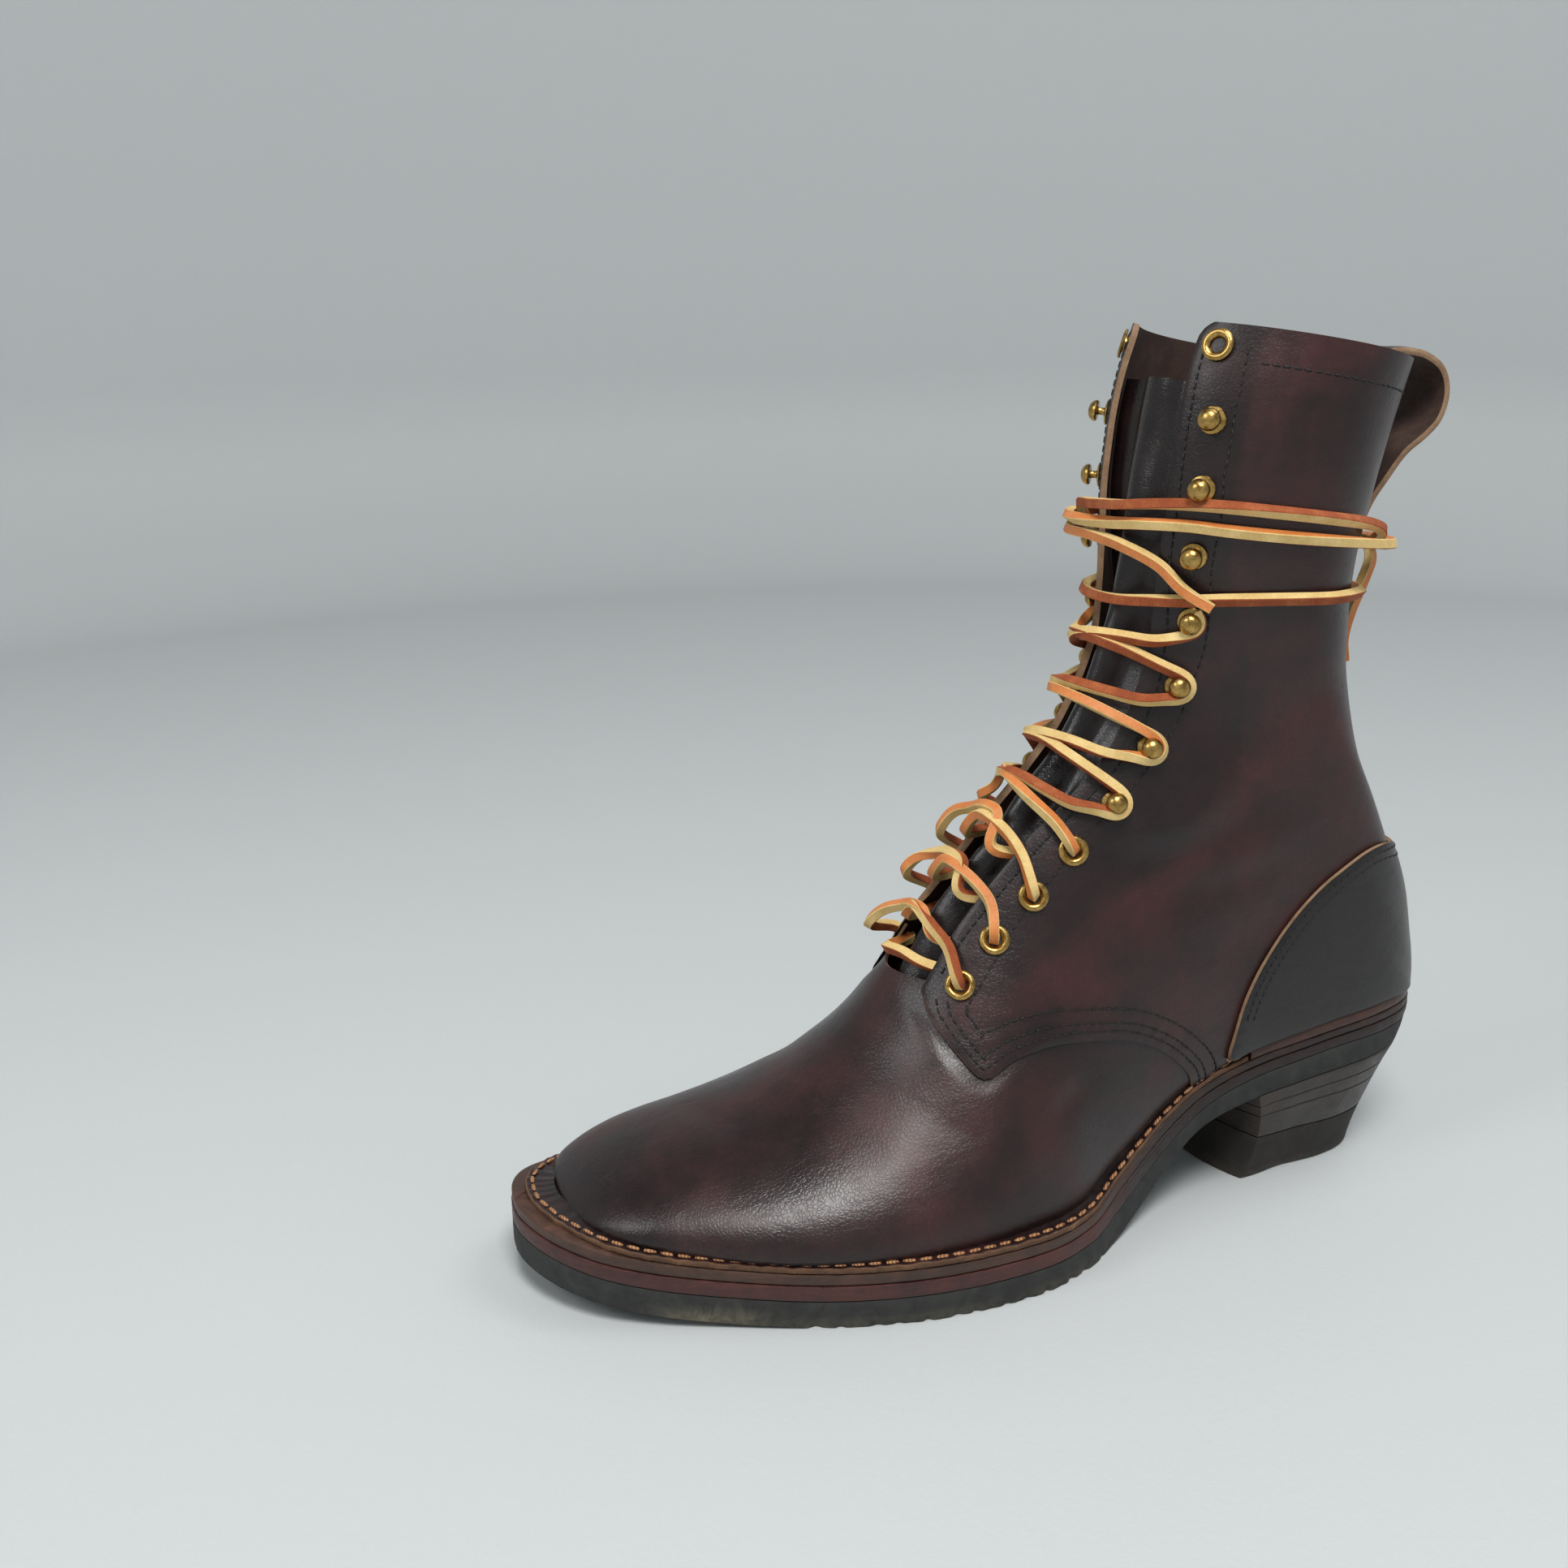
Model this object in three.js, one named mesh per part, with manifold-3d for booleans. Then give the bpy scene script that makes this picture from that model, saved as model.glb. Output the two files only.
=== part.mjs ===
// A laced packer boot for the left foot, built as its maker puts it together, in millimetres.
// +Z is up, the toe points to -Y and the outer side of the foot is +X.
// The origin is on the ground, under the middle of the heel.
import * as THREE from 'three';
import { mergeVertices } from 'three/addons/utils/BufferGeometryUtils.js';
import Module from 'manifold-3d';

const wasm = await Module();
wasm.setup();

// Driving sizes of the sole
const SOLE_LENGTH = 341;
const HEEL_BACK = 55;
const BALL_OUTER = 64;
const BALL_INNER = 51;
const RUBBER = 9.4;
const SLIP_LEATHER = 5.4;
const MID_LEATHER = 4;
const HEEL_SEAT = 60.4;
const TOE_SPRING = 10;
const SPRING_START = 0.72;
const LUG_PITCH = 8.7;
const LUG_GROOVE = 2;
const LUG_DEPTH = 2.6;
const LUG_REACH = 12;
const LUG_FIRST = -104;
const LUG_COUNT = 12;

// Driving sizes of the heel
const HEEL_FRONT = 27.6;
const HEEL_UNDERCUT = 19.1;
const TOP_LIFT = 18;
const BREAST_CURVE = 6.6;
const BREAST_HOLLOW = 3.6;
const BREAST_FADE = 14;

// Driving sizes of the upper
const BOOT_HEIGHT = 303;
const SHAFT_WIDTH = 92;
const FOOT_WIDTH = 108;
const SHAFT_WALL = 2.4;
const QUARTER_STEP = 1.4;
const FLANGE = 2.2;
const FACING_GAP = 40;
const SLOT_DEPTH = 14;
const COUNTER_WALL = 1.8;
const COUNTER_FRONT = 0.2924;
const INSOLE = 3.2;
const TONGUE = 1.8;
const TONGUE_GAP = 1.3;
const TONGUE_DIP = 6;
const RAND_HEIGHT = 4.4;
const RAND_FRONT = 32.5;
const RAND_INSET = 0.5;
const STRAP_WIDTH = 22;
const STRAP_THICK = 2.8;
const BACKSTAY_WIDTH = 15;
const BACKSTAY_THICK = 1.8;

// Driving sizes of the brass
const EYELET_WIDTH = 10.1;
const EYELET_HOLE = 6.4;
const EYELET_RIM = 1.1;
const BARREL_WALL = 0.7;
const HOOK_BASE = 8.8;
const HOOK_BALL = 7.2;
const HOOK_HEIGHT = 7.4;
const HOOK_PLATE = 1.4;
const HOOK_NECK = 2.4;
const HOOK_MIDDLE = 4.4;
const HOOK_DOME = 0.5;
const HOOK_SHEAR = 0.16;
const ROUND_SIDES = 8;

// Driving sizes of the lace
const LACE = 3.2;
const LACE_LIFT = 3.2;
const LACE_CROWN = 1.4;
const LACE_REACH = 0.6;
const LACED = 8;
const BAR_STEPS = 4;
const END_STEPS = 40;

// Clearance between two pieces that touch, and how far a flat may stray from its points
const FIT = 0.3;
const SMOOTHING = 0.035;

// The sole's outline from the heel's back, round the outer side to the toe and home.
// along: share of the sole's length, out: share of the ball's outer or inner half
const OUTLINE = [
  { along: 0.000, out: 0.00 },
  { along: 0.014, out: 0.28 },
  { along: 0.044, out: 0.45 },
  { along: 0.097, out: 0.55 },
  { along: 0.176, out: 0.567 },
  { along: 0.246, out: 0.547 },
  { along: 0.311, out: 0.54 },
  { along: 0.375, out: 0.60 },
  { along: 0.431, out: 0.725 },
  { along: 0.478, out: 0.88 },
  { along: 0.531, out: 0.975 },
  { along: 0.584, out: 1.00 },
  { along: 0.645, out: 0.985 },
  { along: 0.695, out: 0.935 },
  { along: 0.754, out: 0.84 },
  { along: 0.836, out: 0.665 },
  { along: 0.906, out: 0.50 },
  { along: 0.947, out: 0.36 },
  { along: 0.980, out: 0.155 },
  { along: 0.997, out: -0.06 },
  { along: 1.000, out: -0.22 },
  { along: 0.995, out: -0.46 },
  { along: 0.978, out: -0.64 },
  { along: 0.945, out: -0.78 },
  { along: 0.889, out: -0.90 },
  { along: 0.806, out: -0.975 },
  { along: 0.724, out: -1.00 },
  { along: 0.630, out: -0.955 },
  { along: 0.543, out: -0.85 },
  { along: 0.455, out: -0.72 },
  { along: 0.367, out: -0.645 },
  { along: 0.279, out: -0.635 },
  { along: 0.191, out: -0.68 },
  { along: 0.103, out: -0.70 },
  { along: 0.044, out: -0.57 },
  { along: 0.014, out: -0.36 },
];

// How far the upper's foot stands in from the sole's edge, along the sole.
// along: share of the length, inset: share of the ball's outer half, rim: bare midsole,
// sock: how far the insole stands in
const MARGINS = [
  { along: 0.00, inset: 0.068, rim: 0.012, sock: 0.134 },
  { along: 0.25, inset: 0.062, rim: 0.010, sock: 0.130 },
  { along: 0.42, inset: 0.070, rim: 0.006, sock: 0.136 },
  { along: 0.55, inset: 0.108, rim: 0.004, sock: 0.172 },
  { along: 0.66, inset: 0.092, rim: 0.004, sock: 0.156 },
  { along: 0.80, inset: 0.098, rim: 0.006, sock: 0.164 },
  { along: 0.92, inset: 0.135, rim: 0.020, sock: 0.214 },
  { along: 1.00, inset: 0.200, rim: 0.075, sock: 0.320 },
];

// Height of the midsole's top and thickness under it, along the sole.
// rise: share of the way from the forefoot's level to the heel seat,
// leather and rubber: shares of their thickness at the ball
const PROFILE = [
  { along: 0.000, rise: 1.00, leather: 0.78, rubber: 0.95 },
  { along: 0.075, rise: 0.995, leather: 0.78, rubber: 0.95 },
  { along: 0.140, rise: 0.950, leather: 0.70, rubber: 0.98 },
  { along: 0.200, rise: 0.875, leather: 0.72, rubber: 0.93 },
  { along: 0.258, rise: 0.780, leather: 0.78, rubber: 0.88 },
  { along: 0.314, rise: 0.615, leather: 0.90, rubber: 0.78 },
  { along: 0.355, rise: 0.440, leather: 1.10, rubber: 0.92 },
  { along: 0.387, rise: 0.285, leather: 1.22, rubber: 1.08 },
  { along: 0.425, rise: 0.135, leather: 1.24, rubber: 1.18 },
  { along: 0.457, rise: 0.045, leather: 1.12, rubber: 1.10 },
  { along: 0.495, rise: 0.002, leather: 1.00, rubber: 1.00 },
  { along: 0.560, rise: 0.000, leather: 1.00, rubber: 1.00 },
  { along: 1.000, rise: 0.000, leather: 1.00, rubber: 1.00 },
];

// The heel's back line. along: share of the way down from the seat, tuck: share of the undercut
const BACK_LINE = [
  { along: 0.000, tuck: 0.00 },
  { along: 0.205, tuck: 0.16 },
  { along: 0.420, tuck: 0.487 },
  { along: 0.600, tuck: 0.707 },
  { along: 0.800, tuck: 0.91 },
  { along: 1.000, tuck: 1.00 },
];

// The heel's sides. along: share of its length from the breast, keep: width left at the ground
const HEEL_SIDES = [
  { along: 0.00, keep: 0.78 },
  { along: 0.35, keep: 0.68 },
  { along: 1.00, keep: 0.70 },
];

// Sections of the boot's outer form, from the toe tip to the collar.
// top: the section's upper or front end, share of the sole's length
// rise: its height, share of the way from the sole to the boot's top
// foot: where its lower end meets the sole, share of the length; back and lift: the same end
// on the boot's back line, shares of the length and height
// full: half width, share of the foot's half width, or of the shaft's where the back is given
// at: share of the section where it is widest; crown and base: how square its ends are
// lean: the upper end's place across the boot, share of the ball's outer half
const SECTIONS = [
  { top: 0.9575, rise: 0.0046, foot: 0.957, full: 0.06, at: 0.4, crown: 2, base: 2, lean: -0.21 },
  { top: 0.952, rise: 0.0124, foot: 0.951, full: 0.3, at: 0.3, crown: 2, base: 2, lean: -0.2 },
  { top: 0.939, rise: 0.0281, foot: 0.938, full: 0.46, at: 0.28, crown: 2, base: 2, lean: -0.19 },
  { top: 0.918, rise: 0.0461, foot: 0.917, full: 0.59, at: 0.26, crown: 2.05, base: 2, lean: -0.17 },
  { top: 0.89, rise: 0.0636, foot: 0.888, full: 0.7, at: 0.24, crown: 2.1, base: 2, lean: -0.15 },
  { top: 0.854, rise: 0.0801, foot: 0.851, full: 0.8, at: 0.22, crown: 2.05, base: 2, lean: -0.13 },
  { top: 0.813, rise: 0.0957, foot: 0.809, full: 0.89, at: 0.2, crown: 1.95, base: 2, lean: -0.1 },
  { top: 0.769, rise: 0.1153, foot: 0.764, full: 0.96, at: 0.18, crown: 1.85, base: 2, lean: -0.08 },
  { top: 0.724, rise: 0.1419, foot: 0.718, full: 1, at: 0.17, crown: 1.75, base: 2, lean: -0.06 },
  { top: 0.682, rise: 0.1771, foot: 0.669, full: 1.01, at: 0.17, crown: 1.65, base: 2, lean: -0.04 },
  { top: 0.645, rise: 0.2209, foot: 0.615, full: 0.99, at: 0.17, crown: 1.6, base: 2, lean: -0.03 },
  { top: 0.613, rise: 0.2796, foot: 0.555, full: 0.94, at: 0.18, crown: 1.6, base: 2, lean: -0.02 },
  { top: 0.58, rise: 0.3458, foot: 0.49, full: 0.86, at: 0.2, crown: 1.65, base: 2, lean: -0.01 },
  { top: 0.543, rise: 0.4025, foot: 0.42, full: 0.76, at: 0.25, crown: 1.75, base: 2, lean: 0 },
  { top: 0.506, rise: 0.4516, foot: 0.345, full: 0.7, at: 0.32, crown: 1.9, base: 2, lean: 0 },
  { top: 0.468, rise: 0.5007, foot: 0.255, full: 0.675, at: 0.38, crown: 2, base: 2, lean: 0 },
  { top: 0.44, rise: 0.5513, foot: 0.16, full: 0.67, at: 0.4, crown: 2, base: 2.1, lean: 0 },
  { top: 0.42, rise: 0.5983, foot: 0.08, full: 0.67, at: 0.43, crown: 2, base: 2.3, lean: 0 },
  { top: 0.408, rise: 0.6351, foot: 0.033, full: 0.67, at: 0.45, crown: 2, base: 2.4, lean: 0 },
  { top: 0.401, rise: 0.6601, foot: 0.015, full: 0.675, at: 0.46, crown: 2, base: 2.5, lean: 0 },
  { top: 0.397, rise: .6813, back: 0.017, lift: 0.262, full: 0.804, at: 0.46, crown: 2, base: 2.4, lean: 0 },
  { top: 0.394, rise: 0.7029, back: 0.027, lift: 0.31, full: 0.816, at: 0.46, crown: 2, base: 2.3, lean: 0 },
  { top: 0.391, rise: 0.7223, back: 0.046, lift: 0.36, full: 0.833, at: 0.46, crown: 2, base: 2.2, lean: 0 },
  { top: 0.388, rise: .7429, back: 0.071, lift: 0.415, full: 0.857, at: 0.46, crown: 2, base: 2.15, lean: 0 },
  { top: 0.385, rise: 0.7658, back: 0.103, lift: 0.48, full: 0.88, at: 0.46, crown: 2, base: 2.1, lean: 0 },
  { top: 0.382, rise: 0.7932, back: 0.124, lift: 0.555, full: 0.916, at: 0.47, crown: 2, base: 2, lean: 0 },
  { top: 0.379, rise: 0.8230, back: 0.138, lift: 0.635, full: 0.951, at: 0.47, crown: 2, base: 2, lean: 0 },
  { top: 0.375, rise: 0.8584, back: 0.14, lift: 0.715, full: 0.98, at: 0.47, crown: 2, base: 2, lean: 0 },
  { top: 0.371, rise: 0.8963, back: 0.128, lift: 0.793, full: 0.998, at: 0.47, crown: 2, base: 2, lean: 0 },
  { top: 0.364, rise: 0.9377, back: 0.112, lift: 0.87, full: 1.01, at: 0.47, crown: 2, base: 2, lean: 0 },
  { top: 0.348, rise: 1.0000, back: 0.091, lift: 0.948, full: 1.01, at: 0.47, crown: 2, base: 2, lean: 0 },
];

// The upper's thickness, by the number of the section.
// sunk: how far the vamp lies under the quarter's face, share of the quarter's step
// wall: the inside's depth under the form, share of the shaft's wall
const WALLS = [
  { along: 0, sunk: 0, wall: 0.85 },
  { along: 10, sunk: 0, wall: 0.85 },
  { along: 14, sunk: 1, wall: 1.25 },
  { along: 18, sunk: 1, wall: 1.25 },
  { along: 22, sunk: 1, wall: 1 },
  { along: 30, sunk: 1, wall: 1 },
];

// Lower front edge of the quarters in the side view, from the throat to the waist.
// along: share of the sole's length, rise: share of the boot's height
const QUARTER_EDGE = [
  { along: 0.6100, rise: 0.4290 },
  { along: 0.6088, rise: 0.2980 },
  { along: 0.6100, rise: 0.2850 },
  { along: 0.6070, rise: 0.2736 },
  { along: 0.5953, rise: 0.2490 },
  { along: 0.5786, rise: 0.2280 },
  { along: 0.5455, rise: 0.2436 },
  { along: 0.5103, rise: 0.2505 },
  { along: 0.4633, rise: 0.2465 },
  { along: 0.4164, rise: 0.2370 },
  { along: 0.3862, rise: 0.2218 },
  { along: 0.3651, rise: 0.2066 },
  { along: 0.3422, rise: 0.1838 },
  { along: 0.3284, rise: 0.1644 },
  { along: 0.3080, rise: 0.0990 },
];

// Front and upper edge of the heel counter in the side view, from the sole to the back.
// rise: share of the way from the heel seat to the boot's top
const COUNTER_EDGE = [
  { along: 0.2850, rise: -0.0058 },
  { along: 0.2762, rise: 0.0582 },
  { along: 0.2645, rise: 0.0994 },
  { along: 0.2469, rise: 0.1385 },
  { along: 0.2150, rise: 0.1904 },
  { along: 0.1777, rise: 0.2341 },
  { along: 0.1384, rise: 0.2655 },
  { along: 0.1088, rise: 0.2712 },
  { along: 0.0587, rise: 0.2539 },
  { along: -0.030, rise: 0.2456 },
];

// The facings' edges from the throat to the collar. gap: share of the facing gap
const THROAT = [
  { along: 0.6030, rise: 0.3100, gap: 0.780 },
  { along: 0.5720, rise: 0.3600, gap: 0.755 },
  { along: 0.5310, rise: 0.4160, gap: 0.770 },
  { along: 0.4930, rise: 0.4620, gap: 0.805 },
  { along: 0.4516, rise: 0.5036, gap: 0.885 },
  { along: 0.4106, rise: 0.5545, gap: 0.940 },
  { along: 0.3930, rise: 0.5875, gap: 0.930 },
  { along: 0.3724, rise: 0.6570, gap: 0.890 },
  { along: 0.3695, rise: 0.7460, gap: 0.900 },
  { along: 0.3648, rise: 0.8320, gap: 1.000 },
  { along: 0.3560, rise: 0.9140, gap: 0.990 },
  { along: 0.3410, rise: 0.9770, gap: 0.955 },
  { along: 0.3250, rise: 1.0900, gap: 0.930 },
];

// Eyelets and lace hooks from the throat up.
// rise: share of the boot's height, out: share of the shaft's half width
const FASTENINGS = [
  { kind: 'eyelet', rise: 0.3135, out: 0.539 },
  { kind: 'eyelet', rise: 0.3587, out: 0.522 },
  { kind: 'eyelet', rise: 0.4020, out: 0.520 },
  { kind: 'eyelet', rise: 0.4480, out: 0.526 },
  { kind: 'hook', rise: 0.4957, out: 0.535 },
  { kind: 'hook', rise: 0.5528, out: 0.526 },
  { kind: 'hook', rise: 0.6185, out: 0.522 },
  { kind: 'hook', rise: 0.6904, out: 0.554 },
  { kind: 'hook', rise: 0.7604, out: 0.593 },
  { kind: 'hook', rise: 0.8300, out: 0.633 },
  { kind: 'hook', rise: 0.8993, out: 0.639 },
  { kind: 'eyelet', rise: 0.9733, out: 0.561 },
];

// The tongue's folds. along: distance from the middle, share of half the facing gap,
// dip: share of the deepest fold
const TONGUE_FOLDS = [
  { along: 0.00, dip: 0.25 },
  { along: 0.35, dip: 0.50 },
  { along: 0.70, dip: 1.00 },
  { along: 1.00, dip: 0.50 },
  { along: 1.25, dip: 0.00 },
  { along: 2.50, dip: 0.00 },
];

// The pull strap's middle line, from inside the collar over and down the outside of the back.
// back: share of the sole's length, lift: share of the boot's height
const STRAP_PATH = [
  { back: 0.1316, lift: 0.8647 },
  { back: 0.1237, lift: 0.8977 },
  { back: 0.1152, lift: 0.9274 },
  { back: 0.1110, lift: 0.9439 },
  { back: 0.1062, lift: 0.9558 },
  { back: 0.0968, lift: 0.9617 },
  { back: 0.0821, lift: 0.9630 },
  { back: 0.0689, lift: 0.9614 },
  { back: 0.0540, lift: 0.9580 },
  { back: 0.0330, lift: 0.9450 },
  { back: 0.0235, lift: 0.9280 },
  { back: 0.0220, lift: 0.9080 },
  { back: 0.0290, lift: 0.8860 },
  { back: 0.0440, lift: 0.8700 },
  { back: 0.0670, lift: 0.8520 },
  { back: 0.0880, lift: 0.8240 },
  { back: 0.1040, lift: 0.8000 },
  { back: 0.1170, lift: 0.7700 },
];

// Heights of the strip that goes on down the back, shares of the boot's height
const BACKSTAY_RUN = [0.735, 0.695, 0.655, 0.615, 0.575, 0.535, 0.495, 0.455, 0.415];

// Routes of the lace's two ends, from the last laced hooks round the shaft, in millimetres
const OUTER_END = [
  [35.8, -61.5, 214.5], [28.9, -67.9, 220], [21, -72, 227], [9, -78.5, 232.5],
  [-8, -79.5, 234.2], [-24.7, -77.7, 234], [-41.4, -64.7, 233.4], [-45, -42.3, 232.8],
  [-47, -21.4, 232], [-36.9, -3.7, 231], [-23.7, 11.1, 230], [-1.9, 20, 229.6],
  [21.1, 15.4, 230.2], [42.4, 0.2, 232.2], [47.6, -25.9, 235.4], [43.9, -46, 237.6],
  [36.4, -58.4, 239], [28.5, -66.3, 240], [16, -75, 240], [0, -78.5, 239],
  [-17.7, -80.3, 238.8], [-34.9, -71.5, 238.6], [-42.6, -50, 238.2], [-47.9, -30.1, 237.6],
  [-41.3, -7.7, 236.4], [-27.5, 9.9, 234.8], [-8.7, 19.7, 232.4], [8.6, 18.9, 229.5],
  [17.6, 15.1, 224], [18.7, 11.6, 216], [17, 9, 206], [15.2, 8.3, 196],
  [14.9, 9.8, 188],
];
const INNER_END = [
  [-30.5, -61.5, 215.2], [-22, -72.5, 214.8], [-8, -79, 214.6], [8, -78.5, 214.8],
  [19.3, -72.2, 215.6], [28.8, -63.8, 216.2], [34.9, -55.3, 216.8], [42.8, -41.8, 217.3],
  [46.3, -23.5, 217], [35.9, -4.4, 216], [20.6, 6, 214.6], [0, 13.3, 214],
  [-17.3, 7.8, 214.6], [-33.2, -1.8, 216.6], [-44.2, -17.9, 219.4], [-45.8, -36.6, 222.6],
  [-41.8, -49.7, 226.6], [-38.6, -59.8, 231.6], [-32.9, -66.7, 236.6], [-22, -75.5, 243.2],
  [-8, -79.5, 244.6], [8, -78.8, 245.6], [17.5, -73.7, 246.4], [28.7, -66.6, 246.8],
  [36.8, -58.7, 246.4], [44.8, -44.7, 244.8], [47.5, -26, 242.2], [42, -7.4, 239],
  [33.2, 5.2, 235], [24.3, 9.7, 230.5],
];

// Small helpers

// A value from a table, by a monotone run between its rows
function lookUp(table, column, along) {
  let i = 0;
  while (i < table.length - 2 && table[i + 1].along < along) i += 1;
  const a = table[i];
  const b = table[i + 1];
  const t = THREE.MathUtils.clamp((along - a.along) / (b.along - a.along), 0, 1);
  const before = table[Math.max(i - 1, 0)];
  const after = table[Math.min(i + 2, table.length - 1)];
  const slope = (p, q) => (q[column] - p[column]) / Math.max(q.along - p.along, 1e-6);
  const mid = slope(a, b);
  const limited = (s) => (s * mid <= 0 ? 0 : (mid + s) / 2);
  const m0 = limited(slope(before, a)) * (b.along - a.along);
  const m1 = limited(slope(b, after)) * (b.along - a.along);
  const t2 = t * t;
  const t3 = t2 * t;
  return (2 * t3 - 3 * t2 + 1) * a[column] + (t3 - 2 * t2 + t) * m0
    + (3 * t2 - 2 * t3) * b[column] + (t3 - t2) * m1;
}

const placeAlong = (along) => HEEL_BACK - along * SOLE_LENGTH;
const shareAlong = (y) => (HEEL_BACK - y) / SOLE_LENGTH;
const clamp01 = (value) => THREE.MathUtils.clamp(value, 0, 1);

// A closed body from points and faces, its like points joined
function closedBody(points, faces) {
  const geometry = new THREE.BufferGeometry();
  const flat = points.flatMap((p) => [p.x, p.y, p.z]);
  geometry.setAttribute('position', new THREE.Float32BufferAttribute(flat, 3));
  geometry.setIndex(faces.flat());
  return mergeVertices(geometry, 1e-4);
}

function solidOf(geometry) {
  const bare = geometry.clone();
  bare.deleteAttribute('normal');
  bare.deleteAttribute('uv');
  const welded = mergeVertices(bare, 1e-4);
  const triangles = [];
  const index = welded.index.array;
  for (let i = 0; i < index.length; i += 3) {
    const [a, b, c] = [index[i], index[i + 1], index[i + 2]];
    if (a !== b && b !== c && a !== c) triangles.push(a, b, c);
  }
  const mesh = new wasm.Mesh({
    numProp: 3,
    vertProperties: new Float32Array(welded.attributes.position.array),
    triVerts: new Uint32Array(triangles),
  });
  return new wasm.Manifold(mesh);
}

function geometryOf(solid) {
  const mesh = solid.getMesh();
  const geometry = new THREE.BufferGeometry();
  geometry.setAttribute('position', new THREE.BufferAttribute(new Float32Array(mesh.vertProperties), 3));
  geometry.setIndex(new THREE.BufferAttribute(new Uint32Array(mesh.triVerts), 1));
  return geometry;
}

// Skin a row of rings that have as many points each, and close both ends
function loft(rings) {
  const count = rings[0].length;
  const points = rings.flat();
  const faces = [];
  for (let i = 0; i < rings.length - 1; i += 1) {
    for (let j = 0; j < count; j += 1) {
      const a = i * count + j;
      const b = i * count + ((j + 1) % count);
      faces.push([a, b, b + count], [a, b + count, a + count]);
    }
  }
  [0, rings.length - 1].forEach((row, end) => {
    const middle = new THREE.Vector3();
    rings[row].forEach((p) => middle.addScaledVector(p, 1 / count));
    const centre = points.push(middle) - 1;
    for (let j = 0; j < count; j += 1) {
      const a = row * count + j;
      const b = row * count + ((j + 1) % count);
      faces.push(end === 0 ? [centre, b, a] : [centre, a, b]);
    }
  });
  return closedBody(points, faces);
}

// A skinned body as a solid, with its faces turned out
function loftSolid(rings) {
  const trial = solidOf(loft(rings));
  return trial.isEmpty() || trial.volume() <= 0
    ? solidOf(loft(rings.map((ring) => [...ring].reverse())))
    : trial;
}

// Outlines

const outlineCurve = new THREE.CatmullRomCurve3(
  OUTLINE.map(({ along, out }) => new THREE.Vector3(
    out * (out > 0 ? BALL_OUTER : BALL_INNER), placeAlong(along), 0)),
  true, 'centripetal');
const OUTLINE_STEPS = 240;
const soleEdge = outlineCurve.getSpacedPoints(OUTLINE_STEPS).slice(0, -1);

// The outline moved inwards by a run of margins, plus a fixed step
function insetEdge(column, step) {
  return soleEdge.map((p, i) => {
    const before = soleEdge[(i + OUTLINE_STEPS - 1) % OUTLINE_STEPS];
    const after = soleEdge[(i + 1) % OUTLINE_STEPS];
    const run = new THREE.Vector3().subVectors(after, before).normalize();
    const margin = (column ? lookUp(MARGINS, column, shareAlong(p.y)) * BALL_OUTER : 0) + step;
    return new THREE.Vector3(p.x + run.y * margin, p.y - run.x * margin, 0);
  });
}

// The two x values where an outline crosses a line across the boot
function crossing(edge, y) {
  const hits = [];
  edge.forEach((a, i) => {
    const b = edge[(i + 1) % edge.length];
    if ((a.y <= y) !== (b.y <= y)) hits.push(a.x + (b.x - a.x) * (y - a.y) / (b.y - a.y));
  });
  return hits.length ? [Math.max(...hits), Math.min(...hits)] : null;
}

const featherEdge = insetEdge('inset', 0);
const flangeEdge = insetEdge('rim', 0);

const ends = (edge) => [Math.min(...edge.map((p) => p.y)), Math.max(...edge.map((p) => p.y))];

// Heights of the sole's layers at a place along the boot
const FORE_LEVEL = RUBBER + SLIP_LEATHER + MID_LEATHER;
function springAt(y) {
  const past = Math.max(0, (shareAlong(y) - SPRING_START) / (1 - SPRING_START));
  return TOE_SPRING * past * past;
}
function midTop(y) {
  const rise = lookUp(PROFILE, 'rise', shareAlong(y));
  return FORE_LEVEL + rise * (HEEL_SEAT - FORE_LEVEL) + springAt(y);
}
const leatherAt = (y) => lookUp(PROFILE, 'leather', shareAlong(y)) * (SLIP_LEATHER + MID_LEATHER);
const MID_SHARE = MID_LEATHER / (SLIP_LEATHER + MID_LEATHER);
const midUnder = (y) => midTop(y) - leatherAt(y) * MID_SHARE + FIT / 2;
const slipTop = (y) => midTop(y) - leatherAt(y) * MID_SHARE - FIT / 2;
const slipUnder = (y) => midTop(y) - leatherAt(y) + FIT / 2;
const rubberTop = (y) => midTop(y) - leatherAt(y) - FIT / 2;
function rubberUnder(y) {
  return Math.max(springAt(y), midTop(y) - leatherAt(y) - lookUp(PROFILE, 'rubber', shareAlong(y)) * RUBBER);
}
const seatTop = (y) => midTop(y) + FIT;

// A point of the heel or the sole over it, drawn in by the heel's undercut
function tucked(x, y, z) {
  const back = clamp01((y + HEEL_FRONT) / (HEEL_BACK + HEEL_FRONT));
  const down = clamp01((HEEL_SEAT - z) / HEEL_SEAT);
  return new THREE.Vector3(x, y - back * HEEL_UNDERCUT * lookUp(BACK_LINE, 'tuck', down), z);
}

// Stations along an outline: the same for every layer, with more at the outline's own ends
const MID_STOPS = [0.08, 0.12, 0.16, 0.195, 0.225, 0.25, 0.275, 0.3, 0.322, 0.344, 0.366, 0.39,
  0.415, 0.44, 0.468, 0.5, 0.57, 0.64, 0.71, 0.77, 0.82, 0.865, 0.9, 0.93];
const END_STOPS = [0.0003, 0.003, 0.0105, 0.024, 0.044];
function stations(edge) {
  const [toe, heel] = ends(edge);
  const last = END_STOPS[END_STOPS.length - 1] * SOLE_LENGTH;
  return [
    ...END_STOPS.map((step) => heel - step * SOLE_LENGTH),
    ...MID_STOPS.map(placeAlong).filter((y) => y < heel - last && y > toe + last),
    ...[...END_STOPS].reverse().map((step) => toe + step * SOLE_LENGTH),
  ];
}

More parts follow.
